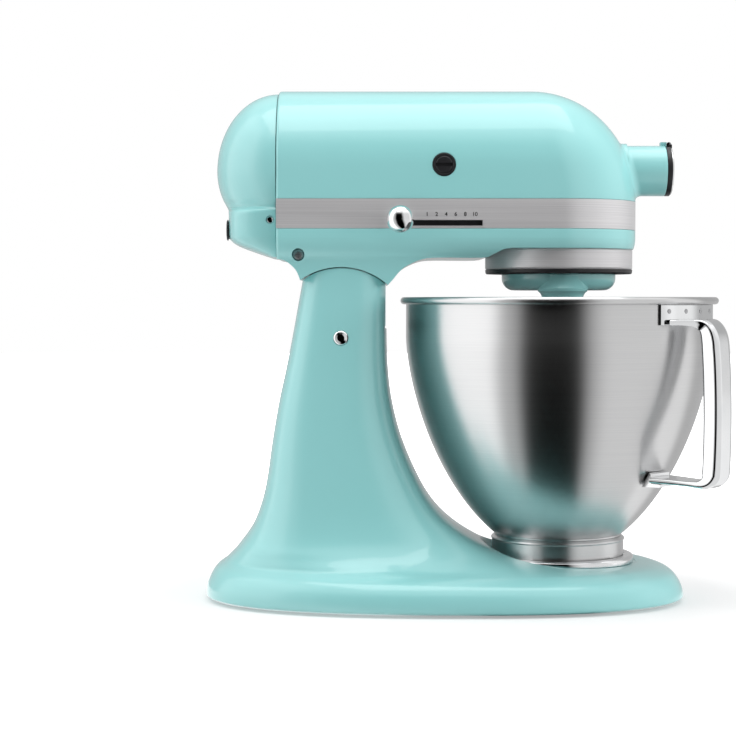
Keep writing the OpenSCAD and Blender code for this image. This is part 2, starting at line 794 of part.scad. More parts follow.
module commutator() {
    color("#C77C3C") along_x(-18, 0, axis_z) difference() {
        cylinder(h = 28, r = 12, $fn = 64);
        translate([0, 0, -1]) cylinder(h = 30, r = 5, $fn = 48);
        for (a = [0:30:330]) rotate([0, 0, a]) translate([11.2, -0.4, -1]) cube([2, 0.8, 26]);
    }
}

module cooling_fan() {
    color("#F0F0E8") along_x(-105, 0, axis_z) difference() {
        union() {
            cylinder(h = 10, r = 10, $fn = 64);
            cylinder(h = 2, r = 42, $fn = 96);
            for (a = [0:40:320]) rotate([0, 0, a]) translate([9, -1, 0]) cube([32, 2, 10]);
        }
        translate([0, 0, -1]) cylinder(h = 12, r = 5, $fn = 48);
    }
}

// ---------- Gear train ----------

module worm_wheel() {
    color("#E9E2C8") translate([wheel_x, wheel_y, 293]) difference() {
        linear_extrude(10) polygon(gear_outline(22, 19, 1.8, -2, 0.45));
        translate([0, 0, -1]) cylinder(h = 12, r = 4, $fn = 48);
    }
}

module worm_wheel_shaft() {
    color("gray") translate([wheel_x, wheel_y, 0]) union() {
        translate([0, 0, 250]) cylinder(h = 62, r = 4, $fn = 48);
        translate([0, 0, spur_z - 1]) rotate([0, 0, mesh_angle - 180 + 180 / drive_teeth])
            gear(drive_teeth, spur_module, spur_h + 2);
    }
}

module centre_shaft() {
    color("gray") translate([bowl_x, 0, 219]) difference() {
        cylinder(h = 64, r = 7, $fn = 64);
        along_y(0, -10, 13) cylinder(h = 20, r = 2, $fn = 32);
    }
}

module centre_gear() {
    color("gray") translate([bowl_x, 0, 0]) difference() {
        union() {
            translate([0, 0, spur_z]) rotate([0, 0, mesh_angle]) gear(centre_teeth, spur_module, spur_h);
            translate([0, 0, 255]) cylinder(h = 26, r = 13, $fn = 64);
            translate([0, 0, spur_z + spur_h - 1]) tube(31, 20, 10);
            for (a = [0:12:348]) rotate([0, 0, a]) translate([20.5, -1.2, 280]) cube([10, 2.4, 5.4]);
        }
        translate([0, 0, 240]) cylinder(h = 60, r = 7, $fn = 64);
    }
}

module planetary_carrier() {
    color(aqua) translate([bowl_x, 0, 0]) difference() {
        union() {
            rotate_extrude($fn = 96) polygon([
                [0, 214.7], [planet_r - 8.5, 214.7],
                for (a = [-80:10:0]) [planet_r - 8.5 + 8.5 * cos(a), 223.2 + 8.5 * sin(a)],
                [planet_r, 226], [0, 226]
            ]);
            translate([0, 0, 225]) cylinder(h = 15, r = 14.2, $fn = 64);
            translate([0, -beater_offset, 0]) rotate_extrude($fn = 64) polygon([
                [0, 198], [12.6, 198], [14, 199.4], [14, 209],
                for (a = [0:15:60]) [19.7 - 5.7 * cos(a), 209 + 5.7 * sin(a)],
                [17.4, 216], [14, 222], [14, 226], [0, 226]
            ]);
        }
        translate([0, 0, 219]) cylinder(h = 40, r = 7, $fn = 64);
        translate([0, -beater_offset, 180]) cylinder(h = 60, r = beater_shaft_r + fit, $fn = 64);
        along_y(0, -30, 232) cylinder(h = 60, r = 2, $fn = 32);
    }
}

module planetary_pin() {
    color("silver") along_y(bowl_x, -14, 232) cylinder(h = 28, r = 2, $fn = 32);
}

module at_beater() {
    translate([bowl_x, -beater_offset, 0]) children();
}

module beater_shaft() {
    color("silver") at_beater() difference() {
        translate([0, 0, 172]) cylinder(h = 69.5, r = beater_shaft_r, $fn = 64);
        along_y(0, -10, 185) cylinder(h = 20, r = 2, $fn = 32);
    }
}

module beater_pin() {
    color("silver") at_beater() along_y(0, -9, 185) cylinder(h = 18, r = 2, $fn = 32);
}

module beater_pinion() {
    color("gray") at_beater() difference() {
        translate([0, 0, 231.5]) rotate([0, 0, -90]) gear(beater_teeth, ring_module, 10);
        translate([0, 0, 230]) cylinder(h = 14, r = beater_shaft_r, $fn = 64);
    }
}

// Half of the beater's frame, from its hub round to the tip
beater_arm = concat(
    quad_curve([5, 175], [30, 178], [44, 166], 6),
    quad_curve([49, 161.5], [beater_half_w - beater_rod_r, 152], [beater_half_w - beater_rod_r, 128], 7),
    quad_curve([beater_half_w - 3.6, 118], [beater_half_w - 8, 92], [26, 66], 8),
    quad_curve([21, 62], [14, beater_low + beater_rod_r], [0, beater_low + beater_rod_r], 5)
);

module flat_beater() {
    color("silver") at_beater() difference() {
        union() {
            for (side = [0, 1]) mirror([side, 0, 0]) bar(beater_arm, beater_rod_r);
            rotate_extrude($fn = 48) polygon([
                [0, 140], [4.2, 140], [6.4, 160], [9, 176], [9.6, 188], [15.5, 190],
                [15.5, beater_top - 1.5], [14, beater_top], [0, beater_top]
            ]);
            bar(quad_curve([0, 146], [14, 126], [beater_half_w - 6, 112], 6), beater_rod_r - 0.3);
            bar(quad_curve([-beater_half_w + 7, 106], [-18, 112], [1, 96], 6), beater_rod_r - 0.3);
            bar([[0, 148], [0, 120], [1, 90], [2, beater_low + beater_rod_r]], beater_rod_r - 0.2);
        }
        translate([0, 0, 170]) cylinder(h = 30, r = beater_shaft_r + fit, $fn = 64);
        translate([-2.3, -9.4, 182.8]) cube([4.6, 18.8, 20]);
    }
}

module pto_gear() {
    color("gray") along_x(99, 0, axis_z) difference() {
        gear(14, spur_module, 7);
        translate([0, 0, -1]) cylinder(h = 12, r = 5, $fn = 48);
    }
}

module pto_shaft() {
    color("gray") difference() {
        union() {
            along_x(98, 0, axis_z) cylinder(h = 26, r = 5, $fn = 48);
            along_x(122.6, 0, axis_z) cylinder(h = 8.4, r = 8, $fn = 64);
        }
        translate([124.6, -4.1, axis_z - 4.1]) cube([12, 8.2, 8.2]);
    }
}

module pto_bushing() {
    color("goldenrod") along_x(107, 0, axis_z) tube(10, 5 + fit, 15);
}

// ---------- Controls ----------

module speed_lever() {
    color("silver") union() {
        along_y(lever_x, -56.9, lever_z) cylinder(h = 11, r = 1.9, $fn = 32);
        translate([lever_x - 5, -48, lever_z - 3]) cube([10, 2.4, 14]);
    }
}

module lever_knob() {
    color("silver") along_y(lever_x, -74.5, lever_z + 2) rotate_extrude($fn = 64) polygon([
        [0, 0], [2.6, 0.3], [5.4, 1.4], [7.6, 3.4], [9, 6.2], [9.2, 9], [8.4, 11.8],
        [6.6, 14.2], [4.6, 15.4], [4.2, 17.6], [0, 17.6]
    ]);
}

module attachment_knob() {
    color("#202224") along_y(142, 22.4, axis_z) difference() {
        rotate_extrude($fn = 96) polygon([
            [0, 0], [6, 0], [6.6, 4], [11, 5.4], [12, 7], [12, 15.5], [11, 17], [0, 17]
        ]);
        for (a = [0:30:330]) rotate([0, 0, a]) translate([12.6, 0, 4]) cylinder(h = 15, r = 1.4, $fn = 24);
        translate([0, 0, -1]) cylinder(h = 12, r = 3, $fn = 32);
    }
}

module knob_screw() {
    color("silver") along_y(142, 16.4, axis_z) cylinder(h = 17, r = 3, $fn = 32);
}

module hub_cover() {
    color("silver") difference() {
        union() {
            difference() {
                along_x(hub_x + 1.6, 0, axis_z)
                    cylinder(h = cover_t - 1.6, r = hub_r - 0.6, $fn = 96);
                translate([hub_x, -3.3, axis_z + 14]) cube([20, 6.6, 10]);
            }
            for (y = [-6, 3.3]) {
                translate([hub_x + 1.6, y, axis_z + 12]) cube([4.1, 2.7, cover_pivot[1] - axis_z - 12]);
                along_y(cover_pivot[0], y, cover_pivot[1])
                    cylinder(h = 2.7, r = cover_barrel_r, $fn = 48);
            }
            along_y(cover_pivot[0], -6, cover_pivot[1]) cylinder(h = 12, r = cover_pin_r, $fn = 32);
        }
        along_x(hub_x - 1, 0, axis_z) cylinder(h = 6, r = 13.5, $fn = 96);
    }
}

module hub_cover_rim() {
    color("#202224") difference() {
        along_x(hub_x + 0.1, 0, axis_z) cylinder(h = 1.5, r = hub_r, $fn = 96);
        along_x(hub_x - 1, 0, axis_z) cylinder(h = 4, r = 13.5, $fn = 96);
        translate([hub_x - 1, -6.3, axis_z + 11]) cube([4, 12.6, 10]);
    }
}

stand_casting();
rubber_feet();
clamp_plate();
clamp_plate_screws();
hinge_pin();
height_adjust_screw();
lock_slide();
lock_knob();
bowl_shell();
bowl_foot();
bowl_handle();
handle_brackets();
handle_rivets();
motor_housing();
gear_housing();
rear_cover();
rear_cover_screws();
housing_screws();
trim_band();
hinge_bush();
drip_ring();
drip_ring_lip();
ring_gear();
centre_bushing();
motor_rear_bracket();
motor_front_bracket();
worm_bracket();
stator_core();
field_windings();
brush_holders();
carbon_brushes();
brush_caps();
pto_bushing();
speed_control_board();
cord_grommet();
armature_shaft();
armature_core();
commutator();
cooling_fan();
worm_wheel();
worm_wheel_shaft();
centre_shaft();
centre_gear();
planetary_carrier();
planetary_pin();
beater_shaft();
beater_pin();
beater_pinion();
flat_beater();
pto_gear();
pto_shaft();
speed_lever();
lever_knob();
attachment_knob();
knob_screw();
hub_cover();
hub_cover_rim();
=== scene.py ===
import json
import math
import bmesh
import bpy
from mathutils import Matrix, Vector


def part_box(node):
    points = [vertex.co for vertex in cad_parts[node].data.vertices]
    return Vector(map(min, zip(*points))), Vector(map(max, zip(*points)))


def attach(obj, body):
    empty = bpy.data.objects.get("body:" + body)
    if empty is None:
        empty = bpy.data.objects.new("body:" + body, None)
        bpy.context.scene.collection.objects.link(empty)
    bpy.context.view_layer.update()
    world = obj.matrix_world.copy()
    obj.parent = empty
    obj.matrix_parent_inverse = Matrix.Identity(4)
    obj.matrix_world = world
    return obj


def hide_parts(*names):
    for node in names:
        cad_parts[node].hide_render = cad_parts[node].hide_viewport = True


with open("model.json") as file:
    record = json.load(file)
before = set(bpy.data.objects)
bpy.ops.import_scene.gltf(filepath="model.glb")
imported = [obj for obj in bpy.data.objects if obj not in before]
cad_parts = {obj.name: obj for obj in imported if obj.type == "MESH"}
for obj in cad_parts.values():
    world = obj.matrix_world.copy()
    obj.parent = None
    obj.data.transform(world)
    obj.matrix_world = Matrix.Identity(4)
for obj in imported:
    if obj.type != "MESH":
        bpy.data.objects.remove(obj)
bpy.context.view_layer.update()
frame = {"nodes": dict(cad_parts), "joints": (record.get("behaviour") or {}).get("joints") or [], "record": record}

# Lengths are millimetres in the CAD frame, with +X to the attachment hub and +Z up.
# Materials and the studio use metres.
MM = 0.001
TURN = 192
CREASE = math.radians(32)
joints = {joint["name"]: joint for joint in frame["joints"]}


def place(joint):
    """Where a joint's axis is, in millimetres."""
    return Vector(joints[joint]["pos_m"]) / MM


def corners(node):
    """Lowest and highest corner of a CAD node, in millimetres."""
    low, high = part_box(node)
    return [round(v / MM, 2) for v in low], [round(v / MM, 2) for v in high]


def middle(node):
    """Middle of a CAD node's box, in millimetres."""
    return [(low + high) / 2 for low, high in zip(*corners(node))]


# ---------- Driving places, read from the frame ----------

hinge = place("head_tilt")
hinge_at = (hinge.x, 0, hinge.z)
bowl_x = place("bowl_twist").x
bowl_at = (bowl_x, 0, 0)
beater_y = place("beater_spin").y
beater_at = (bowl_x, beater_y, 0)
axis_z = place("takeoff_spin").z
hub_at = (0, 0, axis_z)
cover_pivot = place("hub_cover_flip")
cover_pivot_at = (cover_pivot.x, 0, cover_pivot.z)
(base_rear, _, foot_top), (base_front, base_half_w, _) = corners("stand_casting")
(seam_x, _, band_low), (nose_x, head_r, band_high) = corners("trim_band")
_, (_, rim_r, rim_z) = corners("bowl_shell")
hub_x = corners("hub_cover_rim")[0][0] - 0.1
hub_r = corners("hub_cover_rim")[1][1]
lever_x = middle("speed_lever")[0]
lever_z = corners("speed_lever")[0][2] + 3
lever_travel = joints["speed_lever_slide"]["range_m"][1] / MM
brush_x, _, brush_z = middle("brush_caps")
brush_at = (brush_x, 0, brush_z)
neck_screw_x, _, neck_screw_z = middle("housing_screws")
cover_screw_x, _, cover_screw_z = middle("rear_cover_screws")
knob_x, knob_y = middle("attachment_knob")[0], corners("attachment_knob")[0][1]
knob_at = (knob_x, knob_y, axis_z)
inlet_x, (_, inlet_y, inlet_z) = corners("cord_grommet")[0][0], middle("cord_grommet")
ring_r = corners("drip_ring")[1][1]
plate_z = corners("clamp_plate")[0][2]
split_z = (band_low + band_high) / 2
# Radii and heights that no box of the frame gives
bowl_foot_r = 46
barrel_r = 47.3
underside_z = 243
nose_centre_x = 58.5
crown_rise = 77
# The bowl below its straight top is part of a squared oval of this radius, depth and power
belly_z, belly_r, belly_depth, belly_power = 182, 106.6, 154.5, 1.6

# ---------- Outlines ----------


def spline(rows, steps):
    """Smooth curve through rows of numbers, each stretch cut into steps."""
    rows = [Vector(row) for row in rows]
    last = len(rows) - 1
    out = []
    for k in range(last):
        a, b, c, d = rows[max(k - 1, 0)], rows[k], rows[k + 1], rows[min(k + 2, last)]
        for i in range(steps):
            t = i / steps
            out.append(0.5 * (2 * b + (c - a) * t + (2 * a - 5 * b + 4 * c - d) * t ** 2
                              + (3 * b - a - 3 * c + d) * t ** 3))
    return [tuple(row) for row in out + [rows[last]]]


def bow(a, b, c, steps):
    """Quadratic curve from a to c that leans towards b."""
    a, b, c = Vector(a), Vector(b), Vector(c)
    shares = [i / steps for i in range(steps + 1)]
    return [tuple((1 - t) ** 2 * a + 2 * t * (1 - t) * b + t ** 2 * c) for t in shares]


def arc(x, y, r, first, last, steps):
    """Points on a circle, angles in degrees."""
    turns = [math.radians(first + (last - first) * i / steps) for i in range(steps + 1)]
    return [(x + r * math.cos(t), y + r * math.sin(t)) for t in turns]


def rounded(points, steps=4):
    """Closed outline of (x, y) or (x, y, radius) corners, with each radius rounded off."""
    out = []
    count = len(points)
    for i, point in enumerate(points):
        corner = Vector(point[:2])
        if len(point) < 3:
            out.append(tuple(corner))
            continue
        to_last = Vector(points[i - 1][:2]) - corner
        to_next = Vector(points[(i + 1) % count][:2]) - corner
        reach = point[2] / math.tan(to_last.angle(to_next) / 2)
        reach = min(reach, 0.48 * to_last.length, 0.48 * to_next.length)
        start, end = corner + to_last.normalized() * reach, corner + to_next.normalized() * reach
        out += bow(start, corner, end, steps)
    return out


def squared(t, power):
    """Point of a squared unit circle at angle t, in radians."""
    c, s = math.cos(t), math.sin(t)
    reach = (abs(c) ** power + abs(s) ** power) ** (-1 / power)
    return reach * c, reach * s


def oval(z, rear, front, widest, half_w, power, count=176):
    """Squared oval that is widest at x = widest."""
    ring = []
    for i in range(count):
        u, v = squared(2 * math.pi * i / count, power)
        ring.append((widest + u * (front - widest if u > 0 else widest - rear), v * half_w, z))
    return ring


BACK_STEPS = (2.0, 1.2, 0.6, 0.2, 0)


def bullet(z, half_w, tip, back):
    """Straight sides and a half-round nose at height z."""
    nose = [(tip - half_w + x, y, z) for x, y in arc(0, 0, half_w, -90, 90, 56)]
    side = [(back + step, half_w, z) for step in BACK_STEPS]
    return nose + side + [(x, -y, z) for x, y, _ in reversed(side)]


def half_oval(z, depth, half_w, power, front, count=72):
    """Half of a squared oval that bulges backwards from the plane x = front."""
    ring = [squared(math.pi * (0.5 + i / count), power) for i in range(count + 1)]
    return [(front + u * depth, v * half_w, z) for u, v in ring]


def nose_at(z, inset=0):
    """Furthest point of the nose at height z."""
    if z <= band_high:
        return nose_x - inset
    rise = (z - band_high) / (crown_rise - inset)
    return nose_centre_x + (nose_x - nose_centre_x - inset) * math.sqrt(max(0, 1 - rise ** 2))


def half_width_at(z):
    """Half the head's width at height z."""
    return head_r if z <= axis_z else math.sqrt(max(0, head_r ** 2 - (z - axis_z) ** 2))


def bowl_radius(z):
    """Outer radius of the bowl at height z."""
    drop = max(0, belly_z - z) / belly_depth
    return belly_r * math.sqrt(1 - drop ** belly_power)


# ---------- Solids ----------


def new_object(name, data):
    obj = bpy.data.objects.new(name, data)
    bpy.context.scene.collection.objects.link(obj)
    return obj


def solid(name, verts, faces):
    """Object from millimetre points; its faces are turned outwards."""
    mesh = bpy.data.meshes.new(name)
    mesh.from_pydata([Vector(v) * MM for v in verts], [], faces)
    shape = bmesh.new()
    shape.from_mesh(mesh)
    bmesh.ops.recalc_face_normals(shape, faces=shape.faces)
    shape.to_mesh(mesh)
    shape.free()
    return new_object(name, mesh)


def loft(name, rings, closed=False):
    """Solid through rings of equal length, with flat ends unless it closes on itself."""
    n, count = len(rings[0]), len(rings)
    faces = []
    for k in range(count if closed else count - 1):
        a, b = k * n, (k + 1) % count * n
        faces += [(a + i, a + (i + 1) % n, b + (i + 1) % n, b + i) for i in range(n)]
    if not closed:
        faces += [tuple(range(n)), tuple(range((count - 1) * n, count * n))]
    return solid(name, [p for ring in rings for p in ring], faces)


def lathe(name, outline, axis="Z", at=(0, 0, 0), turn=TURN):
    """Outline of (radius, height) or (radius, height, rounding) corners, turned about an axis."""
    sides = {"X": (1, 2, 0), "Y": (2, 0, 1), "Z": (0, 1, 2)}[axis]
    verts, rows = [], []
    for r, h in rounded(outline):
        row = []
        # A point on the axis becomes a pole
        for i in range(1 if r < 1e-6 else turn):
            t = 2 * math.pi * i / turn
            point = [0, 0, 0]
            point[sides[0]], point[sides[1]], point[sides[2]] = r * math.cos(t), r * math.sin(t), h
            row.append(len(verts))
            verts.append(Vector(point) + Vector(at))
        rows.append(row)
    faces = []
    for a, b in zip(rows, rows[1:] + rows[:1]):
        if len(a) == len(b) == 1:
            continue
        for i in range(turn):
            j = (i + 1) % turn
            quad = [a[i % len(a)], a[j % len(a)], b[j % len(b)], b[i % len(b)]]
            faces.append(tuple(dict.fromkeys(quad)))
    return solid(name, verts, faces)


def rod(name, axis, at, r, low, high, edge=0, turn=64):
    """Round bar along an axis from low to high, measured from at, with rounded rims."""
    rim = (edge,) if edge else ()
    return lathe(name, [(0, low), (r, low, *rim), (r, high, *rim), (0, high)], axis, at, turn)


def block(name, low, high):
    """Box from corner to corner."""
    verts = [(x, y, z) for x in (low[0], high[0]) for y in (low[1], high[1]) for z in (low[2], high[2])]
    faces = [(0, 1, 3, 2), (4, 5, 7, 6), (0, 1, 5, 4), (2, 3, 7, 6), (0, 2, 6, 4), (1, 3, 7, 5)]
    return solid(name, verts, faces)


def prism(name, outline, low, high, to_place):
    """Outline pushed from low to high; to_place turns (u, v, depth) into a point."""
    return loft(name, [[to_place(u, v, depth) for u, v in outline] for depth in (low, high)])


def side_view(u, v, depth):
    """Places an outline drawn in the side view, with depth along Y."""
    return (u, depth, v)


def about_bowl(degrees):
    """Places an outline drawn from the bowl's axis in plan, turned by degrees, with depth along Z."""
    c, s = math.cos(math.radians(degrees)), math.sin(math.radians(degrees))
    return lambda u, v, depth: Vector((bowl_x + u * c - v * s, u * s + v * c, depth))


def sweep(name, path, sections, side):
    """Sections of (across, out) points, one at each point of a flat path whose normal is side."""
    rings = []
    for k, (point, section) in enumerate(zip(path, sections)):
        along = (path[min(k + 1, len(path) - 1)] - path[max(k - 1, 0)]).normalized()
        out = side.cross(along).normalized()
        rings.append([point + side * u + out * v for u, v in section])
    return loft(name, rings)


def modify(obj, kind, **values):
    """Adds a modifier and applies it."""
    modifier = obj.modifiers.new(kind.lower(), kind)
    for key, value in values.items():
        setattr(modifier, key, value)
    graph = bpy.context.evaluated_depsgraph_get()
    mesh = bpy.data.meshes.new_from_object(obj.evaluated_get(graph))
    old = obj.data
    obj.modifiers.clear()
    obj.data = mesh
    bpy.data.meshes.remove(old)


def combine(obj, operation, tools):
    """Boolean of obj with each tool in turn; the tools are used up."""
    for tool in tools:
        modify(obj, "BOOLEAN", operation=operation, solver="MANIFOLD", object=tool)
        bpy.data.objects.remove(tool)
    return obj


def cut(obj, *tools):
    return combine(obj, "DIFFERENCE", tools)


def add(obj, *tools):
    return combine(obj, "UNION", tools)


def keep_inside(obj, *tools):
    return combine(obj, "INTERSECT", tools)


def gather(name, objs):
    """One object from several separate ones."""
    shape = bmesh.new()
    for obj in objs:
        shape.from_mesh(obj.data)
        bpy.data.objects.remove(obj)
    mesh = bpy.data.meshes.new(name)
    shape.to_mesh(mesh)
    shape.free()
    return new_object(name, mesh)


def soften_end(obj, x, radius):
    """Rounds the head's outer edge where a housing ends at the plane x."""
    for vertex in obj.data.vertices:
        point = vertex.co / MM
        gone = abs(point.x - x)
        if gone >= radius:
            continue
        inset = radius - math.sqrt(radius ** 2 - (radius - gone) ** 2)
        centre = Vector((point.x, 0, min(point.z, axis_z)))
        spoke = point - centre
        if spoke.length > 4 * radius:
            vertex.co = (centre + spoke * (1 - inset / spoke.length)) * MM
    return obj


# ---------- Materials ----------


class Graph:
    """Short ways to add and join shader nodes."""

    def __init__(self, tree):
        self.nodes, self.links = tree.nodes, tree.links

    def feed(self, socket, value):
        """Gives an input an output's link, or else its own value."""
        if isinstance(value, bpy.types.NodeSocket):
            self.links.new(value, socket)
        else:
            socket.default_value = value

    def node(self, kind, inputs=None, **values):
        """Adds a node; inputs holds a value or an output for each input, by name or place."""
        made = self.nodes.new("ShaderNode" + kind)
        for key, value in values.items():
            setattr(made, key, value)
        for key, value in (inputs or {}).items():
            self.feed(made.inputs[key], value)
        return made

    def math(self, operation, a, b=0.0):
        return self.node("Math", {0: a, 1: b}, operation=operation).outputs[0]

    def length(self, vector):
        return self.node("VectorMath", {0: vector}, operation="LENGTH").outputs["Value"]

    def spread(self, value, low, high, from_low=0.3, from_high=0.7, **values):
        """Value moved from one span to another, and held at its ends."""
        spans = {"From Min": from_low, "From Max": from_high, "To Min": low, "To Max": high}
        return self.node("MapRange", {"Value": value, **spans}, **values).outputs["Result"]


class Finish(Graph):
    """A procedural material; scales are in features per metre and depths in metres."""

    def __init__(self, name, colour, metallic=0.0, roughness=0.5, **sockets):
        self.material = bpy.data.materials.new(name)
        self.material.use_nodes = True
        super().__init__(self.material.node_tree)
        self.shader = self.nodes["Principled BSDF"]
        self.set("Base Color", (*colour, 1))
        self.set("Metallic", metallic)
        self.set("Roughness", roughness)
        for key, value in sockets.items():
            self.set(key.replace("_", " ").title(), value)

    def set(self, socket, value):
        self.shader.inputs[socket].default_value = value

    def stretched(self, stretch=(1, 1, 1), centre=(0, 0, 0)):
        """Object coordinates, moved so that centre is the origin and scaled by stretch."""
        place = [-c * MM * s for c, s in zip(centre, stretch)]
        spot = self.node("TexCoord").outputs["Object"]
        return self.node("Mapping", {"Scale": stretch, "Location": place, "Vector": spot}).outputs["Vector"]

    def noise(self, scale, detail=3, stretch=(1, 1, 1), vector=None):
        spot = vector or self.stretched(stretch)
        return self.node("TexNoise", {"Scale": scale, "Detail": detail, "Vector": spot}).outputs["Fac"]

    def around(self, centre, fine):
        """Vector whose noise runs in circles round the Z axis through centre."""
        x, y, z = self.node("SeparateXYZ", {0: self.stretched(centre=centre)}).outputs
        away = self.length(self.node("CombineXYZ", {"X": x, "Y": y}).outputs[0])
        parts = [self.math("MULTIPLY", part, scale) for part, scale in ((away, fine), (z, fine), (x, 14))]
        return self.node("CombineXYZ", dict(enumerate(parts))).outputs[0]

    def roughen(self, value, low, high):
        self.feed(self.shader.inputs["Roughness"], self.spread(value, low, high))

    def tint(self, value, first, second, from_low=0.3, from_high=0.7):
        """Base colour that runs from first to second with value."""
        share = self.spread(value, 0, 1, from_low, from_high)
        mix = self.node("Mix", {"Factor": share, "A": (*first, 1), "B": (*second, 1)}, data_type="RGBA")
        self.feed(self.shader.inputs["Base Color"], mix.outputs["Result"])

    def bump(self, value, depth, normal=None):
        made = self.node("Bump", {"Distance": depth, "Height": value})
        if normal:
            self.feed(made.inputs["Normal"], normal)
        self.feed(self.shader.inputs["Normal"], made.outputs["Normal"])
        return made.outputs["Normal"]

    def waves(self, scale, distortion=0.0):
        """Bands across the X axis."""
        inputs = {"Scale": scale, "Distortion": distortion, "Vector": self.stretched()}
        return self.node("TexWave", inputs, bands_direction="X").outputs["Fac"]


def aqua_paint():
    """Gloss enamel: pale aqua with a faint orange peel and softly rounded edges."""
    f = Finish("aqua_paint", (0.30, 0.66, 0.66), 0, 0.31, coat_weight=0.8, coat_roughness=0.05)
    f.tint(f.noise(9, 2), (0.292, 0.655, 0.652), (0.308, 0.668, 0.668))
    f.roughen(f.noise(30, 4), 0.295, 0.33)
    edge = f.node("Bevel", {"Radius": 0.0007}, samples=4)
    peel = f.bump(f.noise(420, 2), 0.000012, edge.outputs[0])
    f.bump(f.noise(2600, 1), 0.0000012, peel)
    return f.material


def band_metal():
    f = Finish("band_metal", (0.68, 0.67, 0.68), 0.45, 0.4)
    lines = f.noise(1, 4, stretch=(9, 9, 2600))
    f.tint(lines, (0.62, 0.61, 0.62), (0.74, 0.73, 0.74))
    f.roughen(lines, 0.34, 0.46)
    f.bump(lines, 0.000003)
    return f.material


def chrome():
    f = Finish("chrome", (0.80, 0.81, 0.82), 1, 0.07)
    smears = f.noise(55, 5)
    f.tint(smears, (0.78, 0.79, 0.80), (0.84, 0.845, 0.85))
    f.roughen(smears, 0.05, 0.12)
    f.bump(f.noise(900, 2), 0.0000015)
    return f.material


def bowl_steel():
    """Spun steel with fine rings round the bowl's axis."""
    f = Finish("bowl_steel", (0.66, 0.66, 0.66), 1, 0.27, anisotropic=0.75, anisotropic_rotation=0.25)
    lines = f.noise(1, 3, vector=f.around(bowl_at, 3200))
    f.tint(lines, (0.64, 0.64, 0.645), (0.69, 0.69, 0.69))
    f.roughen(lines, 0.28, 0.3)
    f.bump(lines, 0.0000002)
    tangent = f.node("Tangent", direction_type="RADIAL", axis="Z")
    f.feed(f.shader.inputs["Tangent"], tangent.outputs[0])
    return f.material


def steel():
    f = Finish("steel", (0.5, 0.5, 0.51), 1, 0.3)
    marks = f.noise(1, 3, stretch=(260, 260, 1700))
    f.tint(marks, (0.4, 0.4, 0.41), (0.58, 0.58, 0.59))
    f.roughen(f.noise(120, 4), 0.4, 0.56)
    f.bump(marks, 0.000008)
    return f.material


def moulded(name, colour, roughness, grain):
    """Moulded plastic or rubber with a fine grain."""
    f = Finish(name, colour, 0, roughness)
    f.tint(f.noise(40, 4), [c * 0.85 for c in colour], [min(1, c * 1.15) for c in colour])
    f.roughen(f.noise(300, 3), roughness - 0.06, roughness + 0.08)
    f.bump(f.noise(grain, 2), 0.00002)
    return f.material


def brass():
    f = Finish("brass", (0.72, 0.50, 0.2), 1, 0.32)
    f.tint(f.noise(80, 4), (0.60, 0.40, 0.15), (0.78, 0.56, 0.26))
    f.roughen(f.noise(500, 3), 0.25, 0.42)
    f.bump(f.noise(1, 3, stretch=(900, 900, 200)), 0.00001)
    return f.material


def iron():
    """Stacked laminations across the X axis."""
    f = Finish("iron", (0.13, 0.13, 0.14), 0.85, 0.45)
    plates = f.waves(330)
    f.tint(plates, (0.07, 0.07, 0.08), (0.2, 0.2, 0.21), 0, 1)
    f.roughen(f.noise(160, 4), 0.38, 0.6)
    f.bump(plates, 0.00008)
    return f.material


def copper():
    """Lacquered wire laid in strands."""
    f = Finish("copper", (0.7, 0.28, 0.12), 0.9, 0.28, coat_weight=0.5, coat_roughness=0.12)
    strands = f.waves(330, 1.5)
    f.tint(strands, (0.38, 0.13, 0.05), (0.78, 0.34, 0.15), 0, 1)
    f.bump(strands, 0.00016)
    return f.material


def die_cast(name, colour, grain_depth):
    f = Finish(name, colour, 1, 0.42)
    f.tint(f.noise(45, 5), [c * 0.88 for c in colour], [min(1, c * 1.1) for c in colour])
    f.roughen(f.noise(200, 4), 0.34, 0.52)
    f.bump(f.noise(700, 4), grain_depth)
    return f.material


def board():
    """Green solder mask with copper tracks under it."""
    f = Finish("board", (0.02, 0.14, 0.05), 0, 0.3, coat_weight=0.6, coat_roughness=0.1)
    spot = f.node("TexCoord").outputs["Object"]
    turned = f.node("Mapping", {"Rotation": (0, math.radians(90), 0), "Vector": spot})
    tracks = f.node("TexBrick", {
        "Vector": turned.outputs[0], "Scale": 90, "Mortar": (0.05, 0.24, 0.1, 1),
        "Color1": (0.015, 0.13, 0.045, 1), "Color2": (0.02, 0.16, 0.06, 1)})
    f.feed(f.shader.inputs["Base Color"], tracks.outputs["Color"])
    f.bump(tracks.outputs["Fac"], 0.00005)
    return f.material


materials = {
    "aqua_paint": aqua_paint(),
    "band_metal": band_metal(),
    "chrome": chrome(),
    "bowl_steel": bowl_steel(),
    "steel": steel(),
    "black_plastic": moulded("black_plastic", (0.014, 0.014, 0.016), 0.36, 1500),
    "white_plastic": moulded("white_plastic", (0.74, 0.71, 0.6), 0.4, 1200),
    "rubber": moulded("rubber", (0.03, 0.03, 0.033), 0.7, 900),
    "brass": brass(),
    "iron": iron(),
    "copper": copper(),
    "bracket": die_cast("bracket", (0.52, 0.52, 0.53), 0.00006),
    "beater_metal": die_cast("beater_metal", (0.66, 0.66, 0.67), 0.000012),
    "board": board(),
}


def paint(obj, slot):
    obj.data.materials.clear()
    obj.data.materials.append(materials[slot])


def piece(obj, body, slot, *nodes, crease=CREASE):
    """Finishes obj: smooth faces, its material, the body it rides on and the CAD nodes it stands for."""
    for face in obj.data.polygons:
        face.use_smooth = True
    obj.data.set_sharp_from_angle(angle=crease)
    weighted = obj.modifiers.new("weighted", "WEIGHTED_NORMAL")
    weighted.keep_sharp = True
    paint(obj, slot)
    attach(obj, body)
    if nodes:
        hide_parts(*nodes)
    return obj


# ---------- Stand ----------

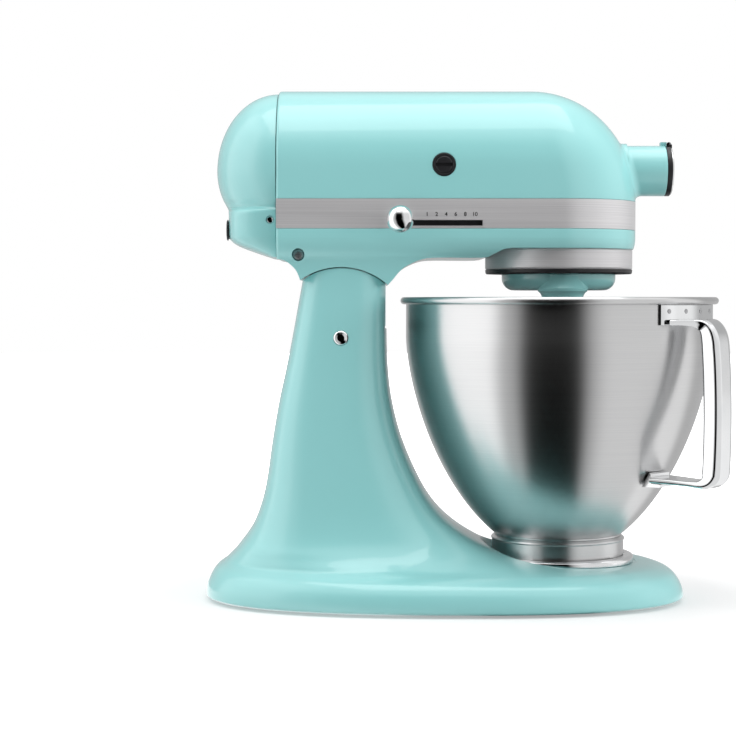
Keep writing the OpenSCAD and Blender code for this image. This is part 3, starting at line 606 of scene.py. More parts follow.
# Keeps the smoothed base inside the CAD box
IN_BOX = 0.03
# The base's rim: height, insets of its rear, front and sides, and the widest place
BASE_ROWS = ((foot_top, 3, 3, 2.5, 10), (3, 0.8, 0.8, 0.7, 10), (4.5, IN_BOX, IN_BOX, IN_BOX, 10),
             (10, 0.5, 1.4, 0.3, 10), (15, 2.5, 4, 1.5, 10), (19.5, 5, 8, 4.5, 8), (22.5, 7.5, 15, 8.5, 4),
             (24.5, 10, 24, 12.5, 0))
# The pedestal: height, rear, front, widest place, half width, squareness
PEDESTAL_ROWS = (
    (25.8, base_rear + 12, 124, -8, 83, 2.5), (27.5, -154, 98, -20, 79.5, 2.5),
    (30, -151.5, 70, -32, 76, 2.6), (33.5, -148, 46, -42, 72, 2.8), (38, -144.5, 30, -50, 68.5, 3),
    (44, -140, 18, -56, 65, 3.1), (52, -135, 6, -60, 62.2, 3.2), (62, -130.8, -5, -64, 60, 3.3),
    (74, -127.2, -14, -67, 58.3, 3.4), (88, -124.5, -21.5, -70, 56.8, 3.5),
    (104, -122.3, -28.5, -73, 55.3, 3.6), (120, -119.8, -34, -75, 53.9, 3.7),
    (140, -116.2, -38.6, -76, 52.1, 3.8), (160, -111.8, -41, -76, 50.4, 3.9),
    (182, -107.4, -42, -75, 48.7, 4), (208, -102.7, -42, -73, 47, 4), (232, -98.4, -41.6, -70, 46, 4),
)
# Hollows under the casting: half the width of one, the distance between them and where the middle column is
POCKET = 15
POCKET_PITCH = 36
POCKET_X = -18
POCKET_TOP = 5.5
FOOT_PLACES = ((118, 52), (118, -52), (-132, 44), (-132, -44), (0, 0))
# Slot in the pedestal for the head's lug, with a shallower notch in front; X is measured from the hinge
SLOT_HALF_W = 30
SLOT_REAR, SLOT_FRONT, SLOT_FLOOR = -21.7, 22.3, 158
NOTCH_FRONT, NOTCH_FLOOR = 42, 188
SLOT_TOP = 248
STOP_SCREW_X = 27
LOCK_Z = 211.4


def underside_pockets():
    """Shallow hollows under the casting, with a web of ribs and a pad for each foot."""
    boxes = []
    for column in range(-3, 4):
        for row in (-1.5, -0.5, 0.5, 1.5):
            x, y = POCKET_X + column * POCKET_PITCH, row * POCKET_PITCH
            if abs(row) < 1 or abs(x) < 100:
                low, high = (x - POCKET, y - POCKET, 0), (x + POCKET, y + POCKET, POCKET_TOP)
                boxes.append(block("pocket", low, high))
    pads = [rod("pad", "Z", (x, y, 0), 11, -1, 20) for x, y in FOOT_PLACES]
    return cut(gather("pockets", boxes), *pads)


def slot_part(rear, front, floor):
    return block("slot", (hinge.x + rear, -SLOT_HALF_W, floor), (hinge.x + front, SLOT_HALF_W, SLOT_TOP))


def make_stand():
    base = [(z, base_rear + rear, base_front - front, widest, base_half_w - side, 2.5)
            for z, rear, front, side, widest in BASE_ROWS]
    body = loft("stand", [oval(*row) for row in spline([*base, *PEDESTAL_ROWS], 5)])
    crown = add(block("below", (-200, -120, 0), (200, 120, 200)),
                rod("barrel", "Y", hinge_at, barrel_r, -120, 120, turn=256))
    keep_inside(body, crown)
    cut(body,
        rod("dish", "Z", bowl_at, 54.6, plate_z, 90, turn=192),
        underside_pockets(),
        slot_part(SLOT_REAR, SLOT_FRONT, SLOT_FLOOR),
        slot_part(22, NOTCH_FRONT, NOTCH_FLOOR),
        rod("pin_bore", "Y", hinge_at, 5.05, -120, 120),
        rod("screw_bore", "Z", (hinge.x + STOP_SCREW_X, 0, 0), 3.05, 160, 200),
        block("lock_recess", (-73, SLOT_HALF_W - 1, 206.8), (-45, SLOT_HALF_W + 4.2, 216.2)),
        block("lock_slot", (-68.3, SLOT_HALF_W, LOCK_Z - 3.2), (-49.9, 60, LOCK_Z + 3.2)))
    piece(body, "stand", "aqua_paint", "stand_casting")


def make_feet():
    outline = [(0, 0), (8, 0, 0.5), (9, 0.8, 0.3), (9, 2, 0.2), (0, 2)]
    feet = [lathe("foot", outline, "Z", (x, y, 0), 64) for x, y in FOOT_PLACES]
    piece(gather("feet", feet), "stand", "rubber", "rubber_feet")


def make_clamp_plate():
    """Pressed plate that the bowl twists into, with a rolled rim and three locking lips."""
    outline = [(0, 0), (52.8, 0, 0.4), *arc(50.65, 3.5, 2.15, 0, 90, 10), (46.7, 5.65, 0.3),
               (46.7, 4.6, 0.3), (48.5, 4.6), (48.5, 2, 0.8), (0, 2)]
    plate = lathe("clamp_plate_detailed", outline, "Z", (bowl_x, 0, plate_z))
    mouth = [(0, 0)] + arc(0, 0, 48.45, -37.5, 37.5, 16)
    for turn in (40, 160, 280):
        cut(plate, prism("mouth", mouth, plate_z + 4, plate_z + 9, about_bowl(turn)))
    piece(plate, "stand", "chrome", "clamp_plate")
    places = [(bowl_x + x, y, plate_z + 1.9) for x in (-30, 30) for y in (-22, 22)]
    heads = [cross_screw("Z", at, 4.4, 0.9, 1) for at in places]
    piece(gather("plate_screws", heads), "stand", "chrome", "clamp_plate_screws")


def cross_screw(axis, at, r, rise, way):
    """Domed screw head with a cross recess; way is +1 or -1 along the axis."""
    slopes = [math.radians(a) for a in range(0, 90, 15)]
    dome = [(r * math.cos(t), way * rise * math.sin(t)) for t in slopes]
    outline = [(0, -way * 3), (r * 0.6, -way * 3), (r * 0.6, 0), *dome, (0, way * rise)]
    head = lathe("head", outline, axis, at, 48)
    along = "XYZ".index(axis)
    for across in [i for i in range(3) if i != along]:
        reach = Vector([r * (0.55 if i == across else 0.13) for i in range(3)])
        low, high = Vector(at) - reach, Vector(at) + reach
        low[along], high[along] = sorted((at[along], at[along] + way * rise * 3))
        cut(head, block("cross", low, high))
    return head


def screw_pair(name, x, z, y, r, rise):
    """Screw heads on both sides of the head."""
    return gather(name, [cross_screw("Y", (x, way * y, z), r, rise, way) for way in (-1, 1)])


def screw_ways(x, z, r, low, high):
    """Tools that sink such a pair of screws."""
    return [rod("screw_way", "Y", (x, 0, z), r, *ends) for ends in ((-high, -low), (low, high))]


def make_hinge():
    """Hinge pin in two halves, with a domed head at each end."""
    for name, way in (("hinge_pin_left", -1), ("hinge_pin_right", 1)):
        outline = [(0, 0), (5, 0), (5, way * 48.6, 0.3), (4.2, way * 49.3, 0.8), (2.4, way * 49.9, 1),
                   (0, way * 50)]
        piece(lathe(name, outline, "Y", hinge_at, 96), "stand", "chrome", "hinge_pin")


def make_lock_knob():
    outline = [(0, 0), (6, 0, 0.6), (7.4, 2, 0.8), (7.6, 8, 1.5), (6.6, 11.4, 1.5), (4, 13, 1), (0, 13)]
    knob = lathe("lock_knob_detailed", outline, "Y", (-65, 50, LOCK_Z), 96)
    piece(knob, "lock", "chrome", "lock_knob")


# ---------- Bowl ----------

BOWL_BOTTOM = 45
BOWL_SHEET = 1.2
# Keeps the rim's finer facets inside the CAD box
RIM_SLACK = 0.01
RIM_ROLL = 2.5
GRIP_HALF_W = 10.5
HANDLE_TURN = -40
# Distance from the bowl's axis, height, half the thickness
HANDLE_PATH = [
    (107, 193.4, 2), (112, 193.4, 2),
    *bow((116, 193.1, 2.4), (124.5, 191.5, 6), (125.2, 176, 6), 16),
    *bow((125.7, 170, 6.1), (128, 135, 6.1), (126.4, 98, 6), 14),
    *bow((126, 93, 6), (124.6, 86.8, 4.6), (117, 86, 2.6), 14),
    (110, 86.2, 2), (96, 86.8, 2), (83.3, 87.2, 2),
]
# Where the handle's flares end, their half widths there, and where they start
UPPER_FLARE = (109, 29, 122)
LOWER_FLARE = (85, 14.6, 112)
FLARE_SPLIT_Z = 140
WRAP_R = 108.2
RIVET_Z = 200.6


def make_bowl():
    drop = belly_z - BOWL_BOTTOM
    heights = [belly_z - drop * math.sin(math.radians(90 * i / 60)) for i in range(60, -1, -1)]
    outer = [(bowl_radius(z), z) for z in heights[1:]]
    inner = [(r - BOWL_SHEET, z) for r, z in reversed(outer)]
    roll = arc(rim_r - RIM_SLACK - RIM_ROLL, rim_z - RIM_ROLL, RIM_ROLL, 233, 550, 28)
    bottom_r, under = bowl_radius(BOWL_BOTTOM), BOWL_BOTTOM - BOWL_SHEET
    outline = [(0, under), (bottom_r, under, 2), *outer, *roll, *inner,
               (bottom_r - BOWL_SHEET, BOWL_BOTTOM, 3), (0, BOWL_BOTTOM)]
    piece(lathe("bowl", outline, "Z", bowl_at, 256), "bowl", "bowl_steel", "bowl_shell")


def make_bowl_foot():
    r, low = bowl_foot_r, plate_z + 2.5
    outline = [(r - 1.6, low), (r, low, 0.4), (r, 40.6, 0.6), (r + 0.7, 41.3, 0.5), (r + 0.5, 42.4, 0.5),
               (r - 1.2, 43.8, 0.6), (r - 8, 43.8), (r - 8, 42.2), (r - 1.6, 41, 1)]
    foot = lathe("foot_ring", outline, "Z", bowl_at)
    lug = arc(0, 0, 48, -14, 14, 10) + arc(0, 0, r - 0.8, 14, -14, 10)
    for turn in (-20, 100, 220):
        add(foot, prism("lug", lug, low, low + 1.8, about_bowl(turn)))
    piece(foot, "bowl", "bowl_steel", "bowl_foot")


from_handle = about_bowl(HANDLE_TURN)


def handle_half_width(distance, z):
    """Half the handle's width: it flares towards both of its feet."""
    foot, foot_half_w, waist = UPPER_FLARE if z > FLARE_SPLIT_Z else LOWER_FLARE
    share = min(1, max(0, (waist - distance) / (waist - foot)))
    return GRIP_HALF_W + (foot_half_w - GRIP_HALF_W) * share ** 1.6


def handle_section(distance, z, t):
    """Channel section with square inner edges and a crowned face."""
    w = handle_half_width(distance, z)
    curl = 1.25 * t
    half = [(w, t, min(2.2, t * 0.45)), (w, curl * 0.2 - t, curl * 0.75), (w * 0.55, -t * 0.99, w * 0.3)]
    return rounded([*half, *[(-p[0], *p[1:]) for p in half[::-1]]], 6)


def make_handle():
    """Polished grip that thins out into a strap at both ends."""
    path = [from_handle(d, 0, z) for d, z, _ in HANDLE_PATH]
    side = (from_handle(0, 1, 0) - from_handle(0, 0, 0)).normalized()
    grip = sweep("handle_grip", path, [handle_section(*row) for row in HANDLE_PATH], side)
    cut(grip, rod("bowl_wall", "Z", bowl_at, WRAP_R, 150, 215, turn=256))
    piece(grip, "bowl", "chrome", "bowl_handle")


def make_handle_brackets():
    section = [(106.65, 191.5), (WRAP_R, 191.5, 0.5), (WRAP_R, 204.9, 0.7), (106.65, 204.9)]
    wrap = lathe("wrap", section, "Z", bowl_at, 512)
    keep_inside(wrap, prism("sector", [(0, 0), (140, -45), (140, 45)], 180, 220, from_handle))
    foot = rounded([(bowl_radius(82.6) + 0.4, 82.6, 0.4), (90, 82.8, 0.5), (90, 84.9, 0.5), (83, 85.1, 0.8),
                    (83, 91.4, 0.4), (bowl_radius(92.4) + 0.5, 92.4, 0.3)])
    lower = prism("lower_bracket", foot, -12, 12, lambda u, v, h: from_handle(u, h, v))
    piece(gather("brackets", [wrap, lower]), "bowl", "chrome", "handle_brackets")
    rivets = []
    outline = [(0, 0), (1.6, 0), (1.5, 0.25), (1.0, 0.45), (0, 0.5)]
    for angle in (-14, -5, 5, 14):
        dome = lathe("rivet", outline, "X", (WRAP_R, 0, 0), 32)
        dome.data.transform(Matrix.Translation(Vector((bowl_x, 0, RIVET_Z)) * MM)
                            @ Matrix.Rotation(math.radians(HANDLE_TURN + angle), 4, "Z"))
        rivets.append(dome)
    piece(gather("rivets", rivets), "bowl", "steel", "handle_rivets")


# ---------- Head ----------


def crown_rows(inset, back, step):
    """Rings of the round upper head above the axis."""
    rows = []
    for a in [*range(0, 84, step), 84, 87]:
        turn = math.radians(a)
        z = axis_z + (head_r - inset) * math.sin(turn)
        rows.append(bullet(z, (head_r - inset) * math.cos(turn), nose_at(z, inset), back))
    return rows


def nose_surface(y, z):
    """How far forward the nose reaches at (y, z)."""
    half_w = half_width_at(z)
    return nose_at(z) - half_w + math.sqrt(max(0, half_w ** 2 - y ** 2))


COLLAR = 5


def hub_collar():
    """Fillet that blends the attachment hub into the nose."""
    wide, inner = hub_r + COLLAR, hub_r - 4
    rings = []
    for i in range(96):
        t = 2 * math.pi * i / 96
        c, s = math.cos(t), math.sin(t)
        near = nose_surface(hub_r * c, axis_z + hub_r * s)
        far = nose_surface(wide * c, axis_z + wide * s)
        curve = bow((near + COLLAR, hub_r - 0.02), (near - 0.1, hub_r), (far - 0.05, wide), 8)
        section = [*curve, (far - 5, wide - 1), (far - 5, inner), (near + COLLAR, inner)]
        rings.append([(x, r * c, axis_z + r * s) for x, r in section])
    return loft("collar", rings, closed=True)


def make_motor_housing():
    inset = 0.8
    step_rows = ((split_z, inset), (band_high, inset), (band_high + 0.06, 0.4), (band_high + 0.2, 0.12),
                 *((z, 0) for z in (band_high + 0.5, 280, 285, 290, 294)))
    rings = [bullet(z, head_r - d, nose_at(z) - d, seam_x) for z, d in step_rows]
    shell = loft("upper_housing", rings + crown_rows(0, seam_x, 3))
    soften_end(shell, seam_x, 2)
    wall = 4
    hollow_back = seam_x - 3
    floor = bullet(split_z - 1, head_r - wall, nose_x - wall, hollow_back)
    cut(shell, loft("hollow", [floor, *crown_rows(wall, hollow_back, 6)]))
    add(shell,
        rod("hub_seat", "X", hub_at, 19, 110, 125, turn=128),
        rod("hub", "X", hub_at, hub_r, 118, hub_x, 0.7, turn=192),
        hub_collar(),
        block("ear", (hub_x - 3, -3, cover_pivot.z - 1.9), (hub_x + 2.2, 3, cover_pivot.z + 1.9)),
        rod("ear_barrel", "Y", cover_pivot_at, 1.9, -3, 3),
        rod("knob_boss", "Y", (knob_x, 0, axis_z), 7, 14, 21.5, 0.8, turn=96))
    cut(shell,
        rod("bore", "X", hub_at, 15.9, 132, 170, turn=192),
        rod("drive_recess", "X", hub_at, 14, 122, 140, turn=96),
        rod("shaft_way", "X", hub_at, 10, 100, 140),
        rod("brush_way", "Y", brush_at, 7.95, -60, 60, turn=96),
        rod("knob_way", "Y", (knob_x, 0, axis_z), 3.05, 12, 25),
        rod("pin_way", "Y", cover_pivot_at, 1.05, -10, 10))
    piece(shell, "head", "aqua_paint", "motor_housing")


# Side view of the neck, behind and in front of the pedestal
REAR_NECK = [(-112, 235), (-108.7, 233), (-104, 228.5), (-101.4, 223), (-100, 217)]
FRONT_NECK = [(-43, 216), (-41.6, 218), (-38, 222), (-33.5, 227.4), (-28, 231.5), (-18.6, 235.4),
              (-8, 236.5), (22, 236.5), (29, 238.6), (36, 242), (42, underside_z)]
# Height, inset of the sides, inset of the nose
LOWER_ROWS = [(212, 8.5, 8), (225, 8, 8), (233, 7, 6), (237, 5.4, 4.6), (240, 3, 2.8), (243, 1.4, 1.4),
              (246.5, 0.4, 0.4), (250, 0, 0)]
LUG_HALF_W = 29.5


def hinge_lug():
    """Boss and stalk that hang the head on the hinge pin."""
    lug = rod("lug", "Y", hinge_at, 20, -LUG_HALF_W, LUG_HALF_W, 0.8, turn=128)
    stalk = [(0, 0), (18, 49), (30.3, 44), (30.3, 8), (17, 8), (12, 0)]
    outline = [(hinge.x + u, hinge.z + v) for u, v in stalk]
    add(lug, prism("stalk", outline, -LUG_HALF_W, LUG_HALF_W, side_view))
    groove = [(25.5, 24.4), (36.5, 24.4), (36.5, 33), (25.5, 33)]
    cut(lug,
        lathe("lock_groove", groove, "Y", hinge_at, 128),
        block("lock_bite", (-66.1, 24.4, LOCK_Z - 3.5), (-47.3, 32.4, LOCK_Z + 3.5)))
    return lug


def make_gear_housing():
    rows = spline(LOWER_ROWS, 4)
    rows += [(band_low - 0.5, 0, 0), (band_low - 0.2, 0.12, 0.12), (band_low - 0.06, 0.4, 0.4),
             (band_low, 0.8, 0.8), (split_z, 0.8, 0.8)]
    shell = loft("lower_housing", [bullet(z, head_r - a, nose_x - b, seam_x) for z, a, b in rows])
    soften_end(shell, seam_x, 2)
    neck = [(seam_x - 5, split_z + 5), (seam_x - 5, 236.8), *spline(REAR_NECK, 4), *spline(FRONT_NECK, 4),
            (140, underside_z), (140, split_z + 5)]
    keep_inside(shell, prism("neck", neck, -70, 70, side_view))
    cut(shell,
        rod("pedestal_way", "Y", hinge_at, barrel_r + 0.6, -70, 70, turn=256),
        loft("hollow", [bullet(247.5, head_r - 5.5, nose_x - 5.5, seam_x + 4.5),
                        bullet(split_z + 1, head_r - 5, nose_x - 5, seam_x + 4.5)]))
    add(shell, hinge_lug())
    cut(shell,
        rod("bush_way", "Y", hinge_at, 7.5, -40, 40),
        rod("ring_seat", "Z", bowl_at, ring_r + 0.05, 200, underside_z, turn=192),
        rod("centre_way", "Z", bowl_at, 10, 230, 270, turn=96),
        lever_slot(),
        *screw_ways(neck_screw_x, neck_screw_z, 4.2, 44.8, 60))
    piece(shell, "head", "aqua_paint", "gear_housing")
    screws = screw_pair("neck_screws", neck_screw_x, neck_screw_z, 47.2, 3.7, 0.8)
    piece(screws, "head", "steel", "housing_screws")


def lever_slot(inset=0.0):
    """Tool that cuts the speed lever's slot."""
    return block("slot", (lever_x - 2.5 + inset, -60, lever_z - 2.4 + inset),
                 (lever_x + lever_travel + 6 - inset, -48.2, lever_z + 2.4 - inset))


def make_band():
    edges = ((band_low, 0.3), (band_low + 0.12, 0.08), (band_low + 0.35, 0), (band_high - 0.35, 0),
             (band_high - 0.12, 0.08), (band_high, 0.3))
    band = loft("brushed_band", [bullet(z, head_r - d, nose_x - d, seam_x) for z, d in edges])
    sheet = 0.75
    cut(band, loft("inside", [bullet(z, head_r - sheet, nose_x - sheet, seam_x - 5) for z in (250, 282)]),
        lever_slot())
    piece(band, "head", "band_metal", "trim_band")
    liner = lever_slot()
    liner.name = "slot_liner"
    keep_inside(liner, block("depth", (-200, -55.25, 200), (200, -48.6, 300)))
    cut(liner, lever_slot(0.45))
    piece(liner, "head", "band_metal")
    shade = block("slot_shade", (lever_x - 2.4, -50, lever_z - 2.3),
                  (lever_x + lever_travel + 5.9, -49.4, lever_z + 2.3))
    piece(shade, "head", "black_plastic")


# Speed numbers: their size, boldness and thickness, and where they stand from the lever at rest
NUMBER_SIZE, NUMBER_BOLD, NUMBER_DEPTH = 3.7, 0.07, 0.06
NUMBER_FIRST, NUMBER_PITCH, NUMBER_RISE = 18.2, 6.4, 4.6


def make_numbers():
    """Speed numbers above the lever's slot."""
    upright = Matrix.Rotation(math.radians(90), 4, "X")
    for k, number in enumerate(("1", "2", "4", "6", "8", "10")):
        text = bpy.data.curves.new("number", "FONT")
        text.body = number
        text.size = NUMBER_SIZE * MM
        text.offset = NUMBER_BOLD * MM
        text.align_x = "CENTER"
        text.extrude = NUMBER_DEPTH * MM
        shown = new_object("number", text)
        mesh = bpy.data.meshes.new_from_object(shown.evaluated_get(bpy.context.evaluated_depsgraph_get()))
        bpy.data.objects.remove(shown)
        at = Vector((lever_x + NUMBER_FIRST + k * NUMBER_PITCH, -head_r, lever_z + NUMBER_RISE))
        mesh.transform(Matrix.Translation(at * MM) @ upright)
        piece(new_object(f"speed_{number}", mesh), "head", "black_plastic")


# Height, depth, half width, squareness
COVER_ROWS = [(237, 5, 42, 3), (241, 17, 45, 3.2), (245, 27.5, 47, 3.4), (248.5, 32.6, 48.2, 3.4),
              (252, 34.4, 49, 3.4), (262, 34.6, 50, 3.4), (268, 34.8, 50.6, 3.2)]
DOME_Z = 297
DOME_R = 54
DOME_DEPTH = 43.4
UNDER_R = 46


def dome_row(a, inset=0):
    """Row of the round back at angle a, in degrees, above or below its centre."""
    reach = UNDER_R if a < 0 else DOME_R
    s = math.sin(math.radians(a))
    k = math.sqrt(max(0, 1 - s * s))
    width = math.sqrt(k) if a < 0 else k
    return (DOME_Z + (reach - inset) * s, (DOME_DEPTH - inset) * k, (DOME_R - inset) * width, 2)


def make_rear_cover():
    gap = 0.35
    rows = spline(COVER_ROWS + [dome_row(a) for a in (-34, -26)], 4)
    rows += [dome_row(a) for a in (*range(-23, 0, 3), *range(0, 84, 3), 84, 87)]
    rings = [half_oval(z, depth - gap, w, power, seam_x - gap) for z, depth, w, power in rows]
    cover = loft("rear_housing", rings)
    hollow = [(249, 27, 44, 3.2), (262, 30.6, 46, 3.2), (268, 31, 46.6, 3)]
    hollow += [dome_row(a, 3.5) for a in (-26, -18, -10, 0, 10, 20, 30, 40, 50, 60, 70, 82)]
    cut(cover,
        loft("hollow", [half_oval(*row, seam_x + 2, 40) for row in hollow]),
        rod("inlet", "X", (0, inlet_y, inlet_z), 6, -160, -130),
        *screw_ways(cover_screw_x, cover_screw_z, 2.7, 44, 60))
    piece(cover, "head", "aqua_paint", "rear_cover")
    screws = screw_pair("cover_screws", cover_screw_x, cover_screw_z, 48.6, 2.6, 0.7)
    piece(screws, "head", "chrome", "rear_cover_screws")


def make_drip_ring():
    r, low, high = ring_r, 229, underside_z
    ring = [(r - 1.8, low), (r - 0.6, low, 0.5), (r, low + 1.2, 0.5), (r, high - 0.8, 0.3), (r - 0.5, high),
            (r - 1.8, high)]
    piece(lathe("drip_ring_rolled", ring, "Z", bowl_at), "head", "band_metal", "drip_ring")
    lip = [(47, low - 1.5), (48, low - 2.6, 0.6), (r - 0.8, low - 3, 0.6), (r - 0.2, low - 2.2, 0.5),
           (r, low, 0.2), (47, low)]
    piece(lathe("drip_lip", lip, "Z", bowl_at), "head", "black_plastic", "drip_ring_lip")


def make_brush_caps():
    caps = []
    for way in (-1, 1):
        outline = [(0, way * 48), (7.8, way * 48), (7.8, way * 54.6), (7.5, way * 55.4, 0.4),
                   (6.4, way * 55.4, 0.3), (5.9, way * 54.9, 0.3), (5.2, way * 55.8, 0.6), (0, way * 56)]
        cap = lathe("cap", outline, "Y", brush_at, 96)
        low, high = sorted((way * 54.2, way * 57))
        slot = block("slot", (brush_x - 5.6, low, brush_z - 1.1), (brush_x + 5.6, high, brush_z + 1.1))
        caps.append(cut(cap, slot))
    piece(gather("motor_brush_caps", caps), "head", "black_plastic", "brush_caps")


def make_grommet():
    outline = [(3.6, 1.5), (6.4, 1.5, 0.3), (7.2, 2, 0.3), (7.2, 2.4, 0.2), (6, 2.4), (6, 9), (3.6, 9)]
    grommet = lathe("inlet_grommet", outline, "X", (inlet_x, inlet_y, inlet_z), 64)
    piece(grommet, "head", "rubber", "cord_grommet")


# ---------- Hub, controls and drive ----------


def make_hub_cover():
    back, front = hub_x + 3.4, hub_x + 4.6
    outline = [(0, back), (16.8, back, 0.2), (16.6, front - 0.3, 0.3), (15.6, front, 0.3),
               (13.2, front, 0.4), (12.6, front - 0.5, 0.4), (0, front - 0.4)]
    cover = lathe("hub_lid", outline, "X", hub_at)
    cut(cover, block("hinge_notch", (hub_x, -3.3, axis_z + 14), (hub_x + 20, 3.3, axis_z + 24)))
    for low, high in ((-6, -3.3), (3.3, 6)):
        add(cover, block("arm", (hub_x + 1.6, low, axis_z + 12), (front - 0.2, high, cover_pivot.z)),
            rod("barrel", "Y", cover_pivot_at, 1.9, low, high, 0.3))
    add(cover, rod("pin", "Y", cover_pivot_at, 1, -6, 6))
    piece(cover, "hub_cover", "chrome", "hub_cover")
    # Black rubber rim, partly real and partly painted reflection: it runs wider than the rim of the CAD node, so
    # that its black also stands for the dark reflection of the chrome cap's edge
    low, high = hub_x + 0.1, back - 0.05
    section = [(13.5, low), (hub_r, low, 0.3), (hub_r, high, 0.3), (13.5, high)]
    rim = lathe("hub_gasket_and_painted_reflection", section, "X", hub_at)
    cut(rim, block("notch", (hub_x - 1, -6.3, axis_z + 11), (hub_x + 5, 6.3, axis_z + 21)))
    piece(rim, "hub_cover", "black_plastic", "hub_cover_rim")


def make_lever_knob():
    """Turned knob, a flattened ball on a short neck."""
    ball = [(0, 0), (2.6, 0.3), (5.4, 1.4), (7.6, 3.4), (9, 6.2), (9.2, 9), (8.4, 11.8), (6.6, 14.2),
            (4.8, 15.4)]
    outline = [*spline(ball, 5), (4.2, 16, 0.4), (4.2, 17.6, 0.3), (0, 17.6)]
    at = (lever_x, corners("lever_knob")[0][1], lever_z + 2)
    piece(lathe("speed_knob", outline, "Y", at, 128), "speed_control", "chrome", "lever_knob")


def make_attachment_knob():
    outline = [(0, 0), (6, 0, 0.4), (6.6, 4, 1), (11, 5.4, 0.8), (12, 7, 0.8), (12, 15.5, 0.9),
               (11, 17, 0.8), (0, 17)]
    knob = lathe("attachment_knob_fluted", outline, "Y", knob_at)
    flute_x = 12.6
    for k in range(12):
        t = math.radians(30 * k)
        at = (knob_x + flute_x * math.sin(t), knob_y, axis_z + flute_x * math.cos(t))
        cut(knob, rod("flute", "Y", at, 1.4, 4, 19, turn=24))
    cut(knob, rod("bore", "Y", knob_at, 3, -1, 11))
    piece(knob, "hub_knob", "black_plastic", "attachment_knob")


def make_planetary():
    """Turning disc with a boss for the beater's shaft."""
    r, low, high = 39.6, 214.7, 226
    edge = 8.5
    disc = [(0, low), (r - edge, low), *arc(r - edge, low + edge, edge, -80, 0, 16), (r, high, 0.5),
            (14.2, high, 1), (14.2, 240, 0.4), (0, 240)]
    carrier = lathe("planet_disc", disc, "Z", bowl_at)
    boss = [(0, 198), (12.6, 198, 0.6), (14, 199.4, 0.8), (14, 209), *arc(19.7, 209, 5.7, 176, 120, 10),
            (17.4, 216), (14, 222), (14, 225), (0, 225)]
    add(carrier, lathe("planet_boss", boss, "Z", beater_at, 128))
    cut(carrier,
        rod("shaft_way", "Z", bowl_at, 7, 219, 260),
        rod("beater_way", "Z", beater_at, 6.05, 180, 240),
        rod("pin_way", "Y", (bowl_x, 0, 232), 2, -30, 30))
    piece(carrier, "planetary", "aqua_paint", "planetary_carrier")


def beater_rod(name, path, r):
    """Slightly flattened rod along a path in the beater's own plane."""
    section = [(0.86 * u, v) for u, v in arc(0, 0, r, 0, 345, 23)]
    points = [Vector((bowl_x + u, beater_y, v)) for u, v in path]
    return sweep(name, points, [section] * len(points), Vector((0, 1, 0)))


def make_beater():
    half_w, low, r = 59, 56, 3.2
    top = [*bow((5, 175), (30, 178), (44, 166), 14),
           *bow((49, 161.5), (half_w - r, 152), (half_w - r, 128), 14)]
    bottom = [*bow((half_w - 3.6, 118), (half_w - 8, 92), (26, 66), 16),
              *bow((21, 62), (14, low + r), (0, low + r), 12)]
    right = top + bottom
    loop = right + [(-u, v) for u, v in reversed(right[:-1])]
    beater = beater_rod("beater_frame", loop, r)
    struts = (
        (bow((0, 146), (14, 126), (half_w - 6, 112), 14), r - 0.3),
        (bow((-half_w + 7, 106), (-18, 112), (1, 96), 14), r - 0.35),
        ([(0, 148), (0, 120), (1, 90), (2, low + r)], r - 0.2),
    )
    for path, strut_r in struts:
        add(beater, beater_rod("strut", path, strut_r))
    hub = [(0, 140), (4.2, 140, 0.8), (6.4, 160), (9, 176), (9.6, 188, 1.5), (15.5, 190, 0.6),
           (15.5, 192.5, 0.5), (14, 194, 0.5), (0, 194)]
    add(beater, lathe("beater_hub", hub, "Z", beater_at, 96))
    slot_half_w, slot_reach = 2.3, 9.4
    cut(beater,
        rod("socket", "Z", beater_at, 6.05, 170, 200),
        block("bayonet", (bowl_x - slot_half_w, beater_y - slot_reach, 182.8),
              (bowl_x + slot_half_w, beater_y + slot_reach, 204)))
    piece(beater, "beater", "beater_metal", "flat_beater", crease=math.radians(40))


def finish_frame_nodes():
    """Gives each CAD node the material of its slot in the record."""
    slots = {part["node"]: part["material_slot"] for part in frame["record"]["subparts"]}
    for name, node in frame["nodes"].items():
        paint(node, slots[name])


# ---------- Studio ----------

CAMERA_AT = (-0.055, -1.3, 0.208)
CAMERA_DOWN = 2.1
CAMERA_LENS = 90.7
# Name, place, size, power, aim and whether metal mirrors it
LIGHTS = (
    ("key", (0.05, -0.15, 1.3), (1.1, 0.9), 6.2, (0, 0, 0.2), True),
    ("left_fill", (-1.5, -0.5, 0.7), (0.8, 1.0), 3.5, (0, 0, 0.2), False),
    ("right_fill", (1.4, -0.45, 0.4), (0.8, 0.7), 8, (-0.05, 0, 0.12), False),
)
# Soft areas all round: strength, spans of azimuth and elevation, and how soft the edges are, in degrees
FLAG, LEFT_BOX, RIGHT_BOX, EDGE_BOX = (-33, 14), (-120, -50), (24, 84), (80, 112)
WORLD_PANELS = (
    (0.5, None, None, 12),
    (-0.5, FLAG, (-60, 42), 12),
    (0.45, None, (42, 138), 24),
    (0.95, LEFT_BOX, (-20, 62), 14),
    (0.3, RIGHT_BOX, (-20, 55), 14),
    (0.45, EDGE_BOX, (-20, 55), 14),
)
# The same for what metal mirrors of the floor
FLOOR_PANELS = (
    (0.55, None, None, 12),
    (-0.55, FLAG, None, 12),
    (0.76, LEFT_BOX, None, 14),
    (0.3, RIGHT_BOX, None, 14),
    (0.45, EDGE_BOX, None, 14),
)
# How strongly the floor glows to the camera, near and far, and its share in lighting the mixer
FLOOR_NEAR = 0.35
FLOOR_FAR = 1.6
FLOOR_BOUNCE = 0.06


def make_camera():
    camera = new_object("camera", bpy.data.cameras.new("camera"))
    camera.location = CAMERA_AT
    camera.rotation_euler = (math.radians(90 - CAMERA_DOWN), 0, 0)
    camera.data.lens = CAMERA_LENS
    camera.data.clip_end = 50
    bpy.context.scene.camera = camera


